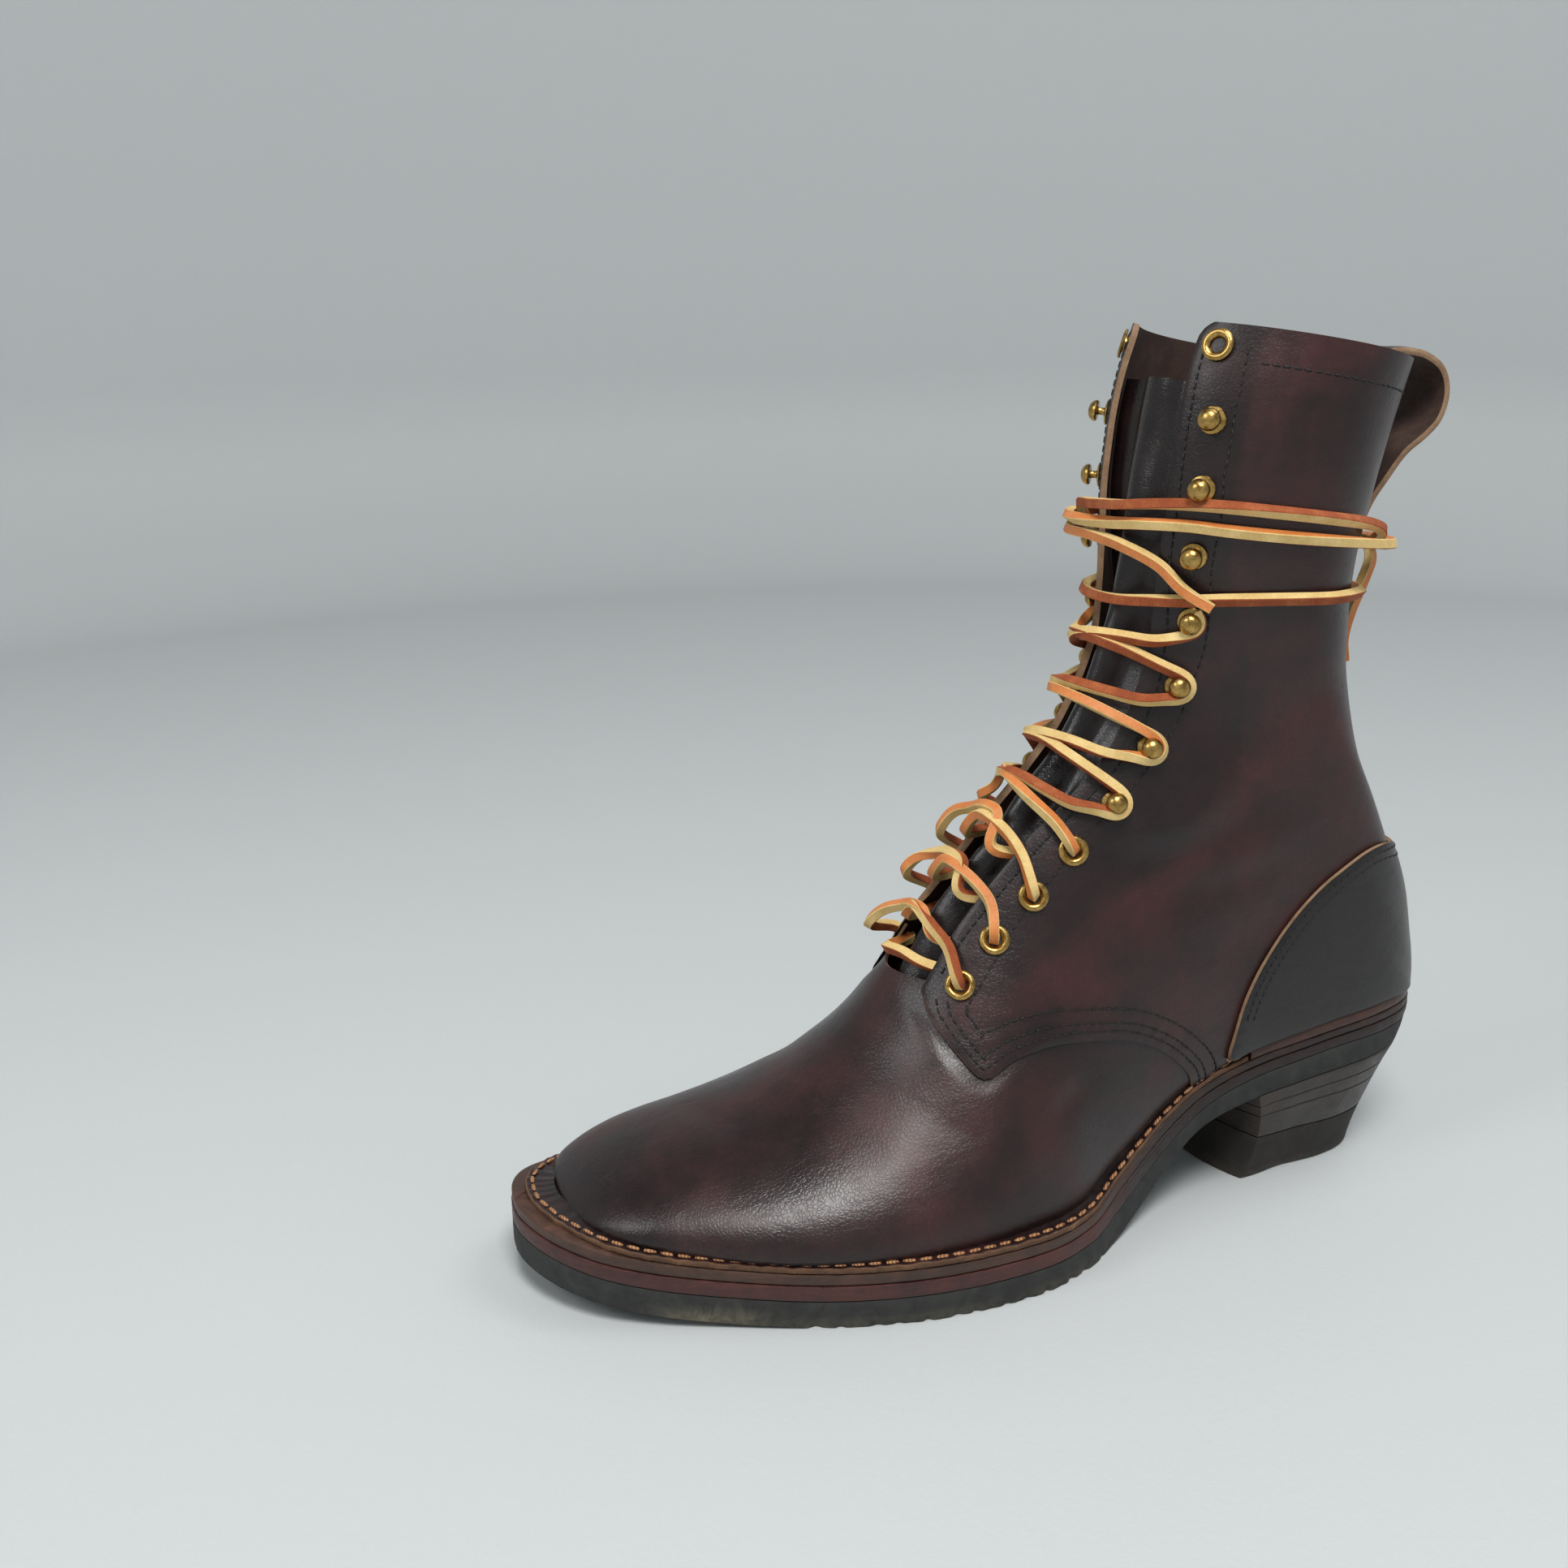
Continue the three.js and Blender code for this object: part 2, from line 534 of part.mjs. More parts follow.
// A flat layer with an outline, between two heights
function layer(edge, top, under) {
  return loftSolid(stations(edge).map((y) => {
    const [outer, inner] = crossing(edge, y);
    const low = [inner, outer].map((x) => tucked(x, y, under(y)));
    const high = [outer, inner].map((x) => tucked(x, y, top(y)));
    return [...low, ...high];
  }));
}

// Solid of a closed outline in the side view, across the whole boot
function sidePrism(outline) {
  const reach = 2 * FOOT_WIDTH;
  const shape = new THREE.Shape(outline.map(([y, z]) => new THREE.Vector2(y, z)));
  const geometry = new THREE.ExtrudeGeometry(shape, { depth: reach, bevelEnabled: false });
  geometry.applyMatrix4(new THREE.Matrix4().makeBasis(
    new THREE.Vector3(0, 1, 0), new THREE.Vector3(0, 0, 1), new THREE.Vector3(1, 0, 0)));
  geometry.translate(-reach / 2, 0, 0);
  return solidOf(geometry);
}
const sidePoints = (table) => table.map(({ along, rise }) => [placeAlong(along), rise * BOOT_HEIGHT]);

// The boot's outer form

const power = (base, exponent) => Math.max(base, 0) ** exponent;

// One section's two ends and its foot width, in millimetres
function sectionFrame(row) {
  const front = placeAlong(row.top);
  const topEnd = new THREE.Vector3(
    row.lean * BALL_OUTER, front, THREE.MathUtils.lerp(seatTop(front), BOOT_HEIGHT, row.rise));
  const onSole = row.foot !== undefined;
  const y = placeAlong(onSole ? row.foot : row.back);
  const z = onSole ? seatTop(y) : row.lift * BOOT_HEIGHT;
  const across = onSole ? crossing(featherEdge, y) : [0, 0];
  const half = (across[0] - across[1]) / 2;
  const middle = (across[0] + across[1]) / 2;
  const width = Math.max(row.full * (onSole ? FOOT_WIDTH : SHAFT_WIDTH) / 2, half);
  return { topEnd, lowEnd: new THREE.Vector3(middle, y, z), half, width, row };
}
const frames = SECTIONS.map(sectionFrame);

const ARC_STEPS = 10;
const FLANK_SPLIT = 0.45;

// A point of a section: turn runs from -1 at the outer foot, over the top at 0, to 1
function sectionPoint(frame, turn) {
  const { topEnd, lowEnd, half, width, row } = frame;
  const share = 1 - Math.abs(turn);
  let up;
  let out;
  if (share < FLANK_SPLIT) {
    const angle = (share / FLANK_SPLIT) * Math.PI / 2;
    const first = half / width;
    up = row.at * (1 - power(Math.cos(angle), 2 / row.base));
    out = first + (1 - first) * power(Math.sin(angle), 2 / row.base);
  } else {
    const angle = ((share - FLANK_SPLIT) / (1 - FLANK_SPLIT)) * Math.PI / 2;
    up = row.at + (1 - row.at) * power(Math.sin(angle), 2 / row.crown);
    out = power(Math.cos(angle), 2 / row.crown);
  }
  const point = new THREE.Vector3().lerpVectors(lowEnd, topEnd, up);
  point.x += (turn < 0 ? 1 : -1) * out * width;
  return point;
}

const turns = Array.from({ length: 2 * ARC_STEPS + 1 }, (unused, j) => j / ARC_STEPS - 1);
const formGrid = frames.map((frame) => turns.map((turn) => sectionPoint(frame, turn)));

// Outward normals of the form's grid
const formNormals = formGrid.map((ring, i) => ring.map((point, j) => {
  const before = formGrid[Math.max(i - 1, 0)][j];
  const after = formGrid[Math.min(i + 1, formGrid.length - 1)][j];
  const closedBack = frames[i].half === 0;
  const left = closedBack && j === 0 ? ring[ring.length - 2] : ring[Math.max(j - 1, 0)];
  const right = closedBack && j === ring.length - 1 ? ring[1] : ring[Math.min(j + 1, ring.length - 1)];
  const along = new THREE.Vector3().subVectors(after, before);
  const around = new THREE.Vector3().subVectors(right, left);
  return new THREE.Vector3().crossVectors(along, around).normalize();
}));

// The form moved out along its normals; drop lengthens it downwards, and past upwards
function offsetForm(offset, drop, past) {
  const rings = formGrid.map((ring, i) => {
    const moved = ring.map((point, j) => point.clone().addScaledVector(formNormals[i][j], offset(i)));
    const open = frames[i].half > 0;
    const low = (p) => (open ? new THREE.Vector3(p.x, p.y, p.z - drop) : p.clone());
    return [low(moved[0]), ...moved, low(moved[moved.length - 1])];
  });
  if (past > 0) {
    rings.push(rings[rings.length - 1].map((p) => new THREE.Vector3(p.x, p.y, p.z + past)));
  }
  return loftSolid(rings);
}

const vampLevel = (i) => -QUARTER_STEP * lookUp(WALLS, 'sunk', i);
const quarterLevel = (i) => vampLevel(i) + QUARTER_STEP;
const innerLevel = (i) => -SHAFT_WALL * lookUp(WALLS, 'wall', i);

// The upper before its throat and holes are cut
const sinkBelow = 30;
const riseAbove = 20;
const hem = 5;
const beyond = 3 * HEEL_BACK;
const underSeat = layer(insetEdge(null, -hem), seatTop, (y) => seatTop(y) - 3 * hem);
const quarterPrism = sidePrism([
  ...sidePoints(QUARTER_EDGE),
  [beyond, 0],
  [beyond, 2 * BOOT_HEIGHT],
  [placeAlong(QUARTER_EDGE[0].along), 2 * BOOT_HEIGHT],
]);
const vampForm = offsetForm(vampLevel, hem, 0);
const quarterForm = offsetForm(quarterLevel, hem, 0);
const innerForm = offsetForm(innerLevel, sinkBelow, riseAbove);
const flangeSheet = layer(flangeEdge, (y) => seatTop(y) + FLANGE, seatTop)
  .trimByPlane([0, -1, 0], RAND_FRONT + FIT);
const shell = vampForm.add(quarterForm.intersect(quarterPrism))
  .subtract(underSeat)
  .add(flangeSheet)
  .subtract(innerForm);

// A spot on the shell, seen from the front or the back, with the way out of it
const shellMesh = new THREE.Mesh(geometryOf(shell), new THREE.MeshBasicMaterial({ side: THREE.DoubleSide }));
const sight = new THREE.Raycaster();
function surfaceSpot(x, z, fromBack) {
  const facing = fromBack ? -1 : 1;
  const hit = (px, pz) => {
    sight.set(new THREE.Vector3(px, -facing * 3 * SOLE_LENGTH, pz), new THREE.Vector3(0, facing, 0));
    return sight.intersectObject(shellMesh)[0].point;
  };
  const reach = 3.5;
  const point = hit(x, z);
  const across = new THREE.Vector3().subVectors(hit(x + reach, z), hit(x - reach, z));
  const upward = new THREE.Vector3().subVectors(hit(x, z + reach), hit(x, z - reach));
  const normal = new THREE.Vector3().crossVectors(across, upward).multiplyScalar(facing).normalize();
  return { point, normal };
}

// Places of the brass on both facings
const spots = [1, -1].flatMap((side) => FASTENINGS.map(({ kind, rise, out }, i) => ({
  kind,
  side,
  number: i + 1,
  ...surfaceSpot(side * out * SHAFT_WIDTH / 2, rise * BOOT_HEIGHT, false),
})));

// A solid turned round +Z set at a spot, its axis along the way out
function placed(geometry, spot, lift) {
  const turnUp = new THREE.Quaternion().setFromUnitVectors(new THREE.Vector3(0, 0, 1), spot.normal);
  geometry.applyQuaternion(turnUp);
  const base = spot.point.clone().addScaledVector(spot.normal, lift);
  geometry.translate(base.x, base.y, base.z);
  return geometry;
}
const turned = (profile, segments) => new THREE.LatheGeometry(
  profile.map(([radius, height]) => new THREE.Vector2(radius, height)), segments).rotateX(Math.PI / 2);

// The throat's slot, from rectangles along the facings' edges
const throatPath = THROAT.map(({ along, rise, gap }) => ({
  y: placeAlong(along), z: rise * BOOT_HEIGHT, half: gap * FACING_GAP / 2,
}));
const throatSlot = loftSolid(throatPath.map(({ y, z, half }, i) => {
  const before = throatPath[Math.max(i - 1, 0)];
  const after = throatPath[Math.min(i + 1, throatPath.length - 1)];
  const out = new THREE.Vector2(-(after.z - before.z), after.y - before.y).normalize();
  const at = (x, far) => new THREE.Vector3(x, y + out.x * far, z + out.y * far);
  return [
    at(half, -SLOT_DEPTH), at(half, 2 * SLOT_DEPTH),
    at(-half, 2 * SLOT_DEPTH), at(-half, -SLOT_DEPTH),
  ];
}));

const drillReach = 8;
const drills = spots.filter(({ kind }) => kind === 'eyelet').map((spot) => solidOf(placed(
  turned([[0, -drillReach], [EYELET_HOLE / 2, -drillReach], [EYELET_HOLE / 2, drillReach],
    [0, drillReach]], ROUND_SIDES), spot, 0)));
const upper = drills.reduce((body, drill) => body.subtract(drill), shell.subtract(throatSlot));

// Heel, built in columns from the ground to the sole
const HEEL_COLUMNS = 11;
const heelStops = Array.from({ length: HEEL_COLUMNS + 1 }, (unused, i) => {
  const share = Math.sin((i / HEEL_COLUMNS) * Math.PI / 2);
  return THREE.MathUtils.lerp(-HEEL_FRONT, HEEL_BACK - FIT, share);
});
const breastStops = [0.6, 0.2, -0.2, -0.6];
const heelPlan = [
  ...heelStops.map((y) => [crossing(soleEdge, y)[0], y]),
  ...[...heelStops].reverse().map((y) => [crossing(soleEdge, y)[1], y]),
  ...[...breastStops].reverse().map((share) => {
    const half = crossing(soleEdge, -HEEL_FRONT)[share > 0 ? 0 : 1];
    return [Math.abs(share) * half, -HEEL_FRONT - BREAST_CURVE * (1 - share * share)];
  }),
];
const heelLevels = [0, 0.12, 0.3, 0.5, 0.75, 1];
const heel = loftSolid(heelLevels.map((level) => heelPlan.map(([x, y]) => {
  const top = rubberUnder(y) - FIT;
  const keep = lookUp(HEEL_SIDES, 'keep', (y + HEEL_FRONT) / (HEEL_BACK + HEEL_FRONT));
  const hollow = BREAST_HOLLOW * 4 * level * (1 - level) * clamp01(1 - (y + HEEL_FRONT) / BREAST_FADE);
  const point = tucked(x * (1 - (1 - keep) * (1 - level)), y, level * top);
  point.y += hollow;
  return point;
})));

// Grooves that cut the outsole's edge into small lugs
const grooves = Array.from({ length: LUG_COUNT }, (unused, i) => LUG_FIRST - i * LUG_PITCH)
  .flatMap((y) => crossing(soleEdge, y).map((x) => {
    const box = new THREE.BoxGeometry(2 * LUG_REACH, LUG_GROOVE, 2 * LUG_DEPTH);
    box.translate(x, y, springAt(y));
    return solidOf(box);
  }));

// The tongue's grid: turns are places round the form's section, rows are section numbers
const tongueTurns = [-0.267, -0.18, -0.1, 0, 0.1, 0.18, 0.267];
const tongueRows = [9, 10, 11, 12, 13, 14, 15, 16, 17, 18, 20, 22, 24, 26, 28, 29];
function formSpot(i, turn) {
  const column = (turn + 1) * ARC_STEPS;
  const j = Math.floor(column);
  const t = column - j;
  return {
    point: sectionPoint(frames[i], turn),
    normal: new THREE.Vector3().lerpVectors(formNormals[i][j], formNormals[i][j + 1], t).normalize(),
  };
}
const tongueRing = (i) => {
  const face = (thick) => tongueTurns.map((turn) => {
    const { point, normal } = formSpot(i, turn);
    const fold = lookUp(TONGUE_FOLDS, 'dip', Math.abs(point.x) / (FACING_GAP / 2));
    return point.addScaledVector(normal, innerLevel(i) - TONGUE_GAP - TONGUE_DIP * fold - thick);
  });
  return [...face(0), ...face(TONGUE).reverse()];
};

// The pull strap: a loop over the collar that goes on as a strip down the back
const strapLine = STRAP_PATH
  .map(({ back, lift }) => new THREE.Vector2(placeAlong(back), lift * BOOT_HEIGHT));
const strapLoop = strapLine.map((p, i) => {
  const before = strapLine[Math.max(i - 1, 0)];
  const after = strapLine[Math.min(i + 1, strapLine.length - 1)];
  const run = new THREE.Vector2().subVectors(after, before).normalize();
  const out = new THREE.Vector2(-run.y, run.x);
  const half = STRAP_WIDTH / 2;
  const at = (x, far) => new THREE.Vector3(x, p.x + out.x * far, p.y + out.y * far);
  const thick = STRAP_THICK / 2;
  return [
    at(-half, thick), at(0, thick), at(half, thick),
    at(half, -thick), at(0, -thick), at(-half, -thick),
  ];
});
const backstay = BACKSTAY_RUN.map((lift, i) => {
  const half = THREE.MathUtils.lerp(STRAP_WIDTH, BACKSTAY_WIDTH, clamp01((i + 1) / 3)) / 2;
  const at = (x, far) => {
    const { point, normal } = surfaceSpot(x, lift * BOOT_HEIGHT, true);
    return point.addScaledVector(normal, far);
  };
  const near = 2 * FIT;
  return [at(-half, near), at(0, near), at(half, near),
    at(half, near + BACKSTAY_THICK), at(0, near + BACKSTAY_THICK), at(-half, near + BACKSTAY_THICK)];
});

// The pieces

const group = new THREE.Group();
function addMesh(name, geometry, material) {
  const mesh = new THREE.Mesh(geometry, material);
  mesh.name = name;
  group.add(mesh);
}
function addPiece(name, solid, material) {
  addMesh(name, geometryOf(solid.asOriginal().simplify(SMOOTHING)), material);
}

const leather = (color, roughness) => new THREE.MeshStandardMaterial({ color, roughness, metalness: 0 });
const rubber = () => new THREE.MeshStandardMaterial({ color: 0x2c2d2b, roughness: 0.85 });

const sheet = layer(soleEdge, rubberTop, rubberUnder);
addPiece('outsole', grooves.reduce((body, groove) => body.subtract(groove), sheet), rubber());
addPiece('slip_sole', layer(soleEdge, slipTop, slipUnder), leather(0x5a2f2a, 0.7));
addPiece('midsole', layer(soleEdge, midTop, midUnder), leather(0x4a3328, 0.7));
addPiece('heel_base', heel.trimByPlane([0, 0, 1], TOP_LIFT + FIT / 2), leather(0x3b3230, 0.6));
addPiece('top_lift', heel.trimByPlane([0, 0, -1], FIT / 2 - TOP_LIFT), rubber());
addPiece('insole', layer(insetEdge('sock', 0), (y) => seatTop(y) + INSOLE, seatTop),
  leather(0x8a6a4c, 0.8));
addPiece('upper', upper, leather(0x43211f, 0.42));
addPiece('tongue', loftSolid(tongueRows.map(tongueRing)), leather(0x2a1a18, 0.4));
addPiece('pull_strap', loftSolid([...strapLoop, ...backstay]), leather(0x3a2320, 0.5));

// Counter and rand round the heel
const counterFloor = (y) => seatTop(y) + RAND_HEIGHT + FIT;
const counterFront = placeAlong(COUNTER_FRONT);
const counterStops = [beyond, ...stations(soleEdge).filter((y) => y > counterFront), counterFront];
const counterLine = COUNTER_EDGE.map(({ along, rise }) => [
  placeAlong(along), THREE.MathUtils.lerp(HEEL_SEAT, BOOT_HEIGHT, rise),
]);
const counterPrism = sidePrism([
  ...counterLine,
  [beyond, counterLine[counterLine.length - 1][1]],
  ...counterStops.map((y) => [y, counterFloor(y)]),
]);
const counterSheet = offsetForm(() => FIT + COUNTER_WALL, hem, 0)
  .subtract(offsetForm(() => FIT, 2 * hem, 0));
addPiece('counter', counterSheet.intersect(counterPrism), leather(0x2b2624, 0.35));

const randRing = layer(insetEdge(null, RAND_INSET), (y) => seatTop(y) + RAND_HEIGHT, seatTop)
  .trimByPlane([0, 1, 0], -RAND_FRONT)
  .subtract(layer(insetEdge('inset', -2 * FIT), (y) => seatTop(y) + 2 * RAND_HEIGHT, (y) => midTop(y) - FIT))
  .subtract(offsetForm(() => 2 * FIT, hem, 0));
addPiece('heel_rand', randRing, leather(0x4a2a22, 0.5));

// Brass eyelets and lace hooks
const brass = () => new THREE.MeshStandardMaterial({ color: 0xb08d4a, roughness: 0.3, metalness: 1 });
const sideName = (side) => (side > 0 ? 'outer' : 'inner');
const seating = 1.6 * FIT;
const barrelEnd = FIT - SHAFT_WALL;
const barrelRadius = EYELET_HOLE / 2 - FIT;
const barrelBore = barrelRadius - BARREL_WALL;
const eyeletProfile = [
  [barrelBore, barrelEnd],
  [barrelRadius, barrelEnd],
  [barrelRadius, seating],
  [EYELET_WIDTH / 2, seating],
  [EYELET_WIDTH / 2 - EYELET_RIM, seating + EYELET_RIM],
  [barrelBore, seating + EYELET_RIM],
  [barrelBore, barrelEnd],
];
const hookProfile = [
  [0, 0],
  [HOOK_BASE / 2, 0],
  [HOOK_BALL / 4, HOOK_PLATE],
  [HOOK_BALL / 4, HOOK_NECK],
  [HOOK_BALL / 2, HOOK_MIDDLE],
  [HOOK_BALL / 3, HOOK_HEIGHT - HOOK_DOME],
  [0, HOOK_HEIGHT],
];
spots.forEach((spot) => {
  const name = `${spot.kind}_${sideName(spot.side)}_${spot.number}`;
  if (spot.kind === 'eyelet') {
    addPiece(name, solidOf(placed(turned(eyeletProfile, ROUND_SIDES), spot, 0)), brass());
  } else {
    const hook = turned(hookProfile, ROUND_SIDES);
    hook.applyMatrix4(new THREE.Matrix4().makeShear(0, 0, 0, 0, spot.side * HOOK_SHEAR, 0));
    addPiece(name, solidOf(placed(hook, spot, seating)), brass());
  }
});

// The lace: bars that cross the throat, and the two ends that go round the shaft
function tube(points, corners, radius, steps) {
  const shape = new THREE.Shape(Array.from({ length: corners }, (unused, i) => {
    const angle = (2 * Math.PI * (i + 0.5)) / corners;
    return new THREE.Vector2(radius * Math.cos(angle), radius * Math.sin(angle));
  }));
  const extrudePath = new THREE.CatmullRomCurve3(points, false, 'centripetal');
  return solidOf(new THREE.ExtrudeGeometry(shape, { steps, bevelEnabled: false, extrudePath }));
}
const facingAt = (z) => {
  const table = throatPath.map((row) => ({ along: row.z, half: row.half }));
  return lookUp(table, 'half', z);
};
function crossBar(side, from, to) {
  const spot = (x, z, lift) => {
    const { point, normal } = surfaceSpot(side * x, z, false);
    return point.addScaledVector(normal, lift);
  };
  return tube([
    spot(facingAt(from) + LACE_REACH, from, LACE_LIFT),
    spot(0, (from + to) / 2, LACE_CROWN),
    spot(-facingAt(to) - LACE_REACH, to, LACE_LIFT),
  ], 4, LACE / Math.SQRT2, BAR_STEPS);
}
const laceLeather = () => leather(0xd08a55, 0.75);
const levels = FASTENINGS.slice(0, LACED).map(({ rise }) => rise * BOOT_HEIGHT);
levels.slice(1).forEach((above, i) => {
  const from = levels[i] + LACE;
  const to = above - LACE;
  addPiece(`lace_cross_${i + 1}`, crossBar(1, from, to).add(crossBar(-1, from, to)), laceLeather());
});
addPiece('lace_cross_0', tube([1, 0, -1].map((side) => {
  const { point, normal } = surfaceSpot(side * (facingAt(levels[0]) + LACE_REACH / 2), levels[0], false);
  return point.addScaledVector(normal, LACE_LIFT);
}), 4, LACE / Math.SQRT2, BAR_STEPS), laceLeather());
const route = (list) => list.map((p) => new THREE.Vector3(...p));
addPiece('lace_end_outer', tube(route(OUTER_END), ROUND_SIDES, LACE / 2, END_STEPS), laceLeather());
addPiece('lace_end_inner', tube(route(INNER_END), ROUND_SIDES, LACE / 2, END_STEPS), laceLeather());

export default group;
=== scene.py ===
"""Looks of a laced packer boot, the left one of a pair.

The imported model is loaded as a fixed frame. Every surface here is worked out from the boot's own
sizes in millimetres, in the frame's axes: +Z up, the toe towards -Y, the outer side towards +X.
"""
import math

import bpy
import numpy as np
from bpy.props import FloatProperty, FloatVectorProperty, PointerProperty
from mathutils import Matrix


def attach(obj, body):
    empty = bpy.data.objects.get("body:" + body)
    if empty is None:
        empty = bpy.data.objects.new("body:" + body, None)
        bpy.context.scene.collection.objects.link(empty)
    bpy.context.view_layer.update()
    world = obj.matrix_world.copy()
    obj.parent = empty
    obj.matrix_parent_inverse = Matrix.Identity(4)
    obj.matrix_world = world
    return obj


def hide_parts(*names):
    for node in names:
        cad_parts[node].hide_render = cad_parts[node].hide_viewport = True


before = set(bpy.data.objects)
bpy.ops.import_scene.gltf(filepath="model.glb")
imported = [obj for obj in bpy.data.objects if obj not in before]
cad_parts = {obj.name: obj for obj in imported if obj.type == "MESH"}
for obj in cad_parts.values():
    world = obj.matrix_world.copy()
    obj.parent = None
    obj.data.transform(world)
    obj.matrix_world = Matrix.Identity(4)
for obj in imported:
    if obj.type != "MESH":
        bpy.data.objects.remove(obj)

bl_info = {
    "name": "Packer boot looks",
    "version": (1, 0, 0),
    "blender": (4, 5, 0),
    "location": "View3D > Sidebar > Boot",
    "description": "Builds the leather, sole, brass and lace of a packer boot",
    "category": "Object",
}

# Driving sizes in millimetres, as in the solids
SOLE_LENGTH, HEEL_BACK, BALL_OUTER, BALL_INNER = 341.0, 55.0, 64.0, 51.0
RUBBER, SLIP_LEATHER, MID_LEATHER, HEEL_SEAT = 9.4, 5.4, 4.0, 60.4
TOE_SPRING, SPRING_START = 10.0, 0.72
LUG_PITCH, LUG_FIRST, LUG_COUNT = 8.7, -104.0, 12
HEEL_FRONT, HEEL_UNDERCUT, TOP_LIFT = 27.6, 19.1, 18.0
BREAST_CURVE, BREAST_HOLLOW, BREAST_FADE = 6.6, 3.6, 14.0
BOOT_HEIGHT, SHAFT_WIDTH, FOOT_WIDTH = 303.0, 92.0, 108.0
SHAFT_WALL, QUARTER_STEP, FACING_GAP = 2.4, 1.4, 40.0
COUNTER_WALL, INSOLE, TONGUE, TONGUE_GAP, TONGUE_DIP = 1.8, 3.2, 1.8, 1.3, 6.0
RAND_HEIGHT, RAND_FRONT = 4.4, 32.5
STRAP_WIDTH, STRAP_THICK, BACKSTAY_WIDTH, BACKSTAY_THICK = 22.0, 2.8, 15.0, 1.8
EYELET_WIDTH, EYELET_HOLE, HOOK_BASE, HOOK_BALL = 10.1, 6.4, 8.8, 7.2
FIT, SEATING, FLANK_SPLIT = 0.3, 0.48, 0.45
FORE_LEVEL = RUBBER + SLIP_LEATHER + MID_LEATHER
MID_SHARE = MID_LEATHER / (SLIP_LEATHER + MID_LEATHER)
LACE = 3.2

# Sizes of the looks alone, in millimetres
VAMP_WALL, VAMP_UNDERLAP, CORNER, FACING_ROW = 1.0, 9.0, 6.0, 3.2
QUARTER_ROWS = (3.0, 5.8, 10.5)
HEEL_GROOVES = (0.5, 0.74)  # shares of the stack's height
UPPER_FINISHES = "oxblood flesh raw"
# Where the photo was taken from: turns in degrees, place in metres, focal length in millimetres
CAMERA_TURNS = (69.2698, 16.1626, -0.7694)
CAMERA_PLACE = (0.44773, -0.36303, 0.30145)
CAMERA_LENS = 36.0 * 1935 / 1932


def columns(names, text):
    """A table as one array for each named column, from rows parted by bars."""
    rows = np.array([[float(v) for v in row.split()] for row in text.replace("\n", " ").split("|")
                     if row.strip()])
    return dict(zip(names.split(), rows.T))


# Sole outline from the back of the heel round the outer side: share of length, of half width
OUTLINE = columns("along out", """
0 0 | .014 .28 | .044 .45 | .097 .55 | .176 .567 | .246 .547 | .311 .54 | .375 .6 | .431 .725 |
.478 .88 | .531 .975 | .584 1 | .645 .985 | .695 .935 | .754 .84 | .836 .665 | .906 .5 |
.947 .36 | .98 .155 | .997 -.06 | 1 -.22 | .995 -.46 | .978 -.64 | .945 -.78 | .889 -.9 |
.806 -.975 | .724 -1 | .63 -.955 | .543 -.85 | .455 -.72 | .367 -.645 | .279 -.635 | .191 -.68 |
.103 -.7 | .044 -.57 | .014 -.36
""")
# How far foot, bare rim and insole stand in from the sole edge
MARGINS = columns("along inset rim sock", """
0 .068 .012 .134 | .25 .062 .01 .13 | .42 .07 .006 .136 | .55 .108 .004 .172 |
.66 .092 .004 .156 | .8 .098 .006 .164 | .92 .135 .02 .214 | 1 .2 .075 .32
""")
# Height of the seat and thickness of leather and rubber along the sole
PROFILE = columns("along rise leather rubber", """
0 1 .78 .95 | .075 .995 .78 .95 | .14 .95 .7 .98 | .2 .875 .72 .93 | .258 .78 .78 .88 |
.314 .615 .9 .78 | .355 .44 1.1 .92 | .387 .285 1.22 1.08 | .425 .135 1.24 1.18 |
.457 .045 1.12 1.1 | .495 .002 1 1 | .56 0 1 1 | 1 0 1 1
""")
# Undercut of the heel down its back
BACK_LINE = columns("along tuck", """
0 0 | .205 .16 | .42 .487 | .6 .707 | .8 .91 | 1 1
""")
# Width left at the ground along the heel
HEEL_SIDES = columns("along keep", """
0 .78 | .35 .68 | 1 .7
""")
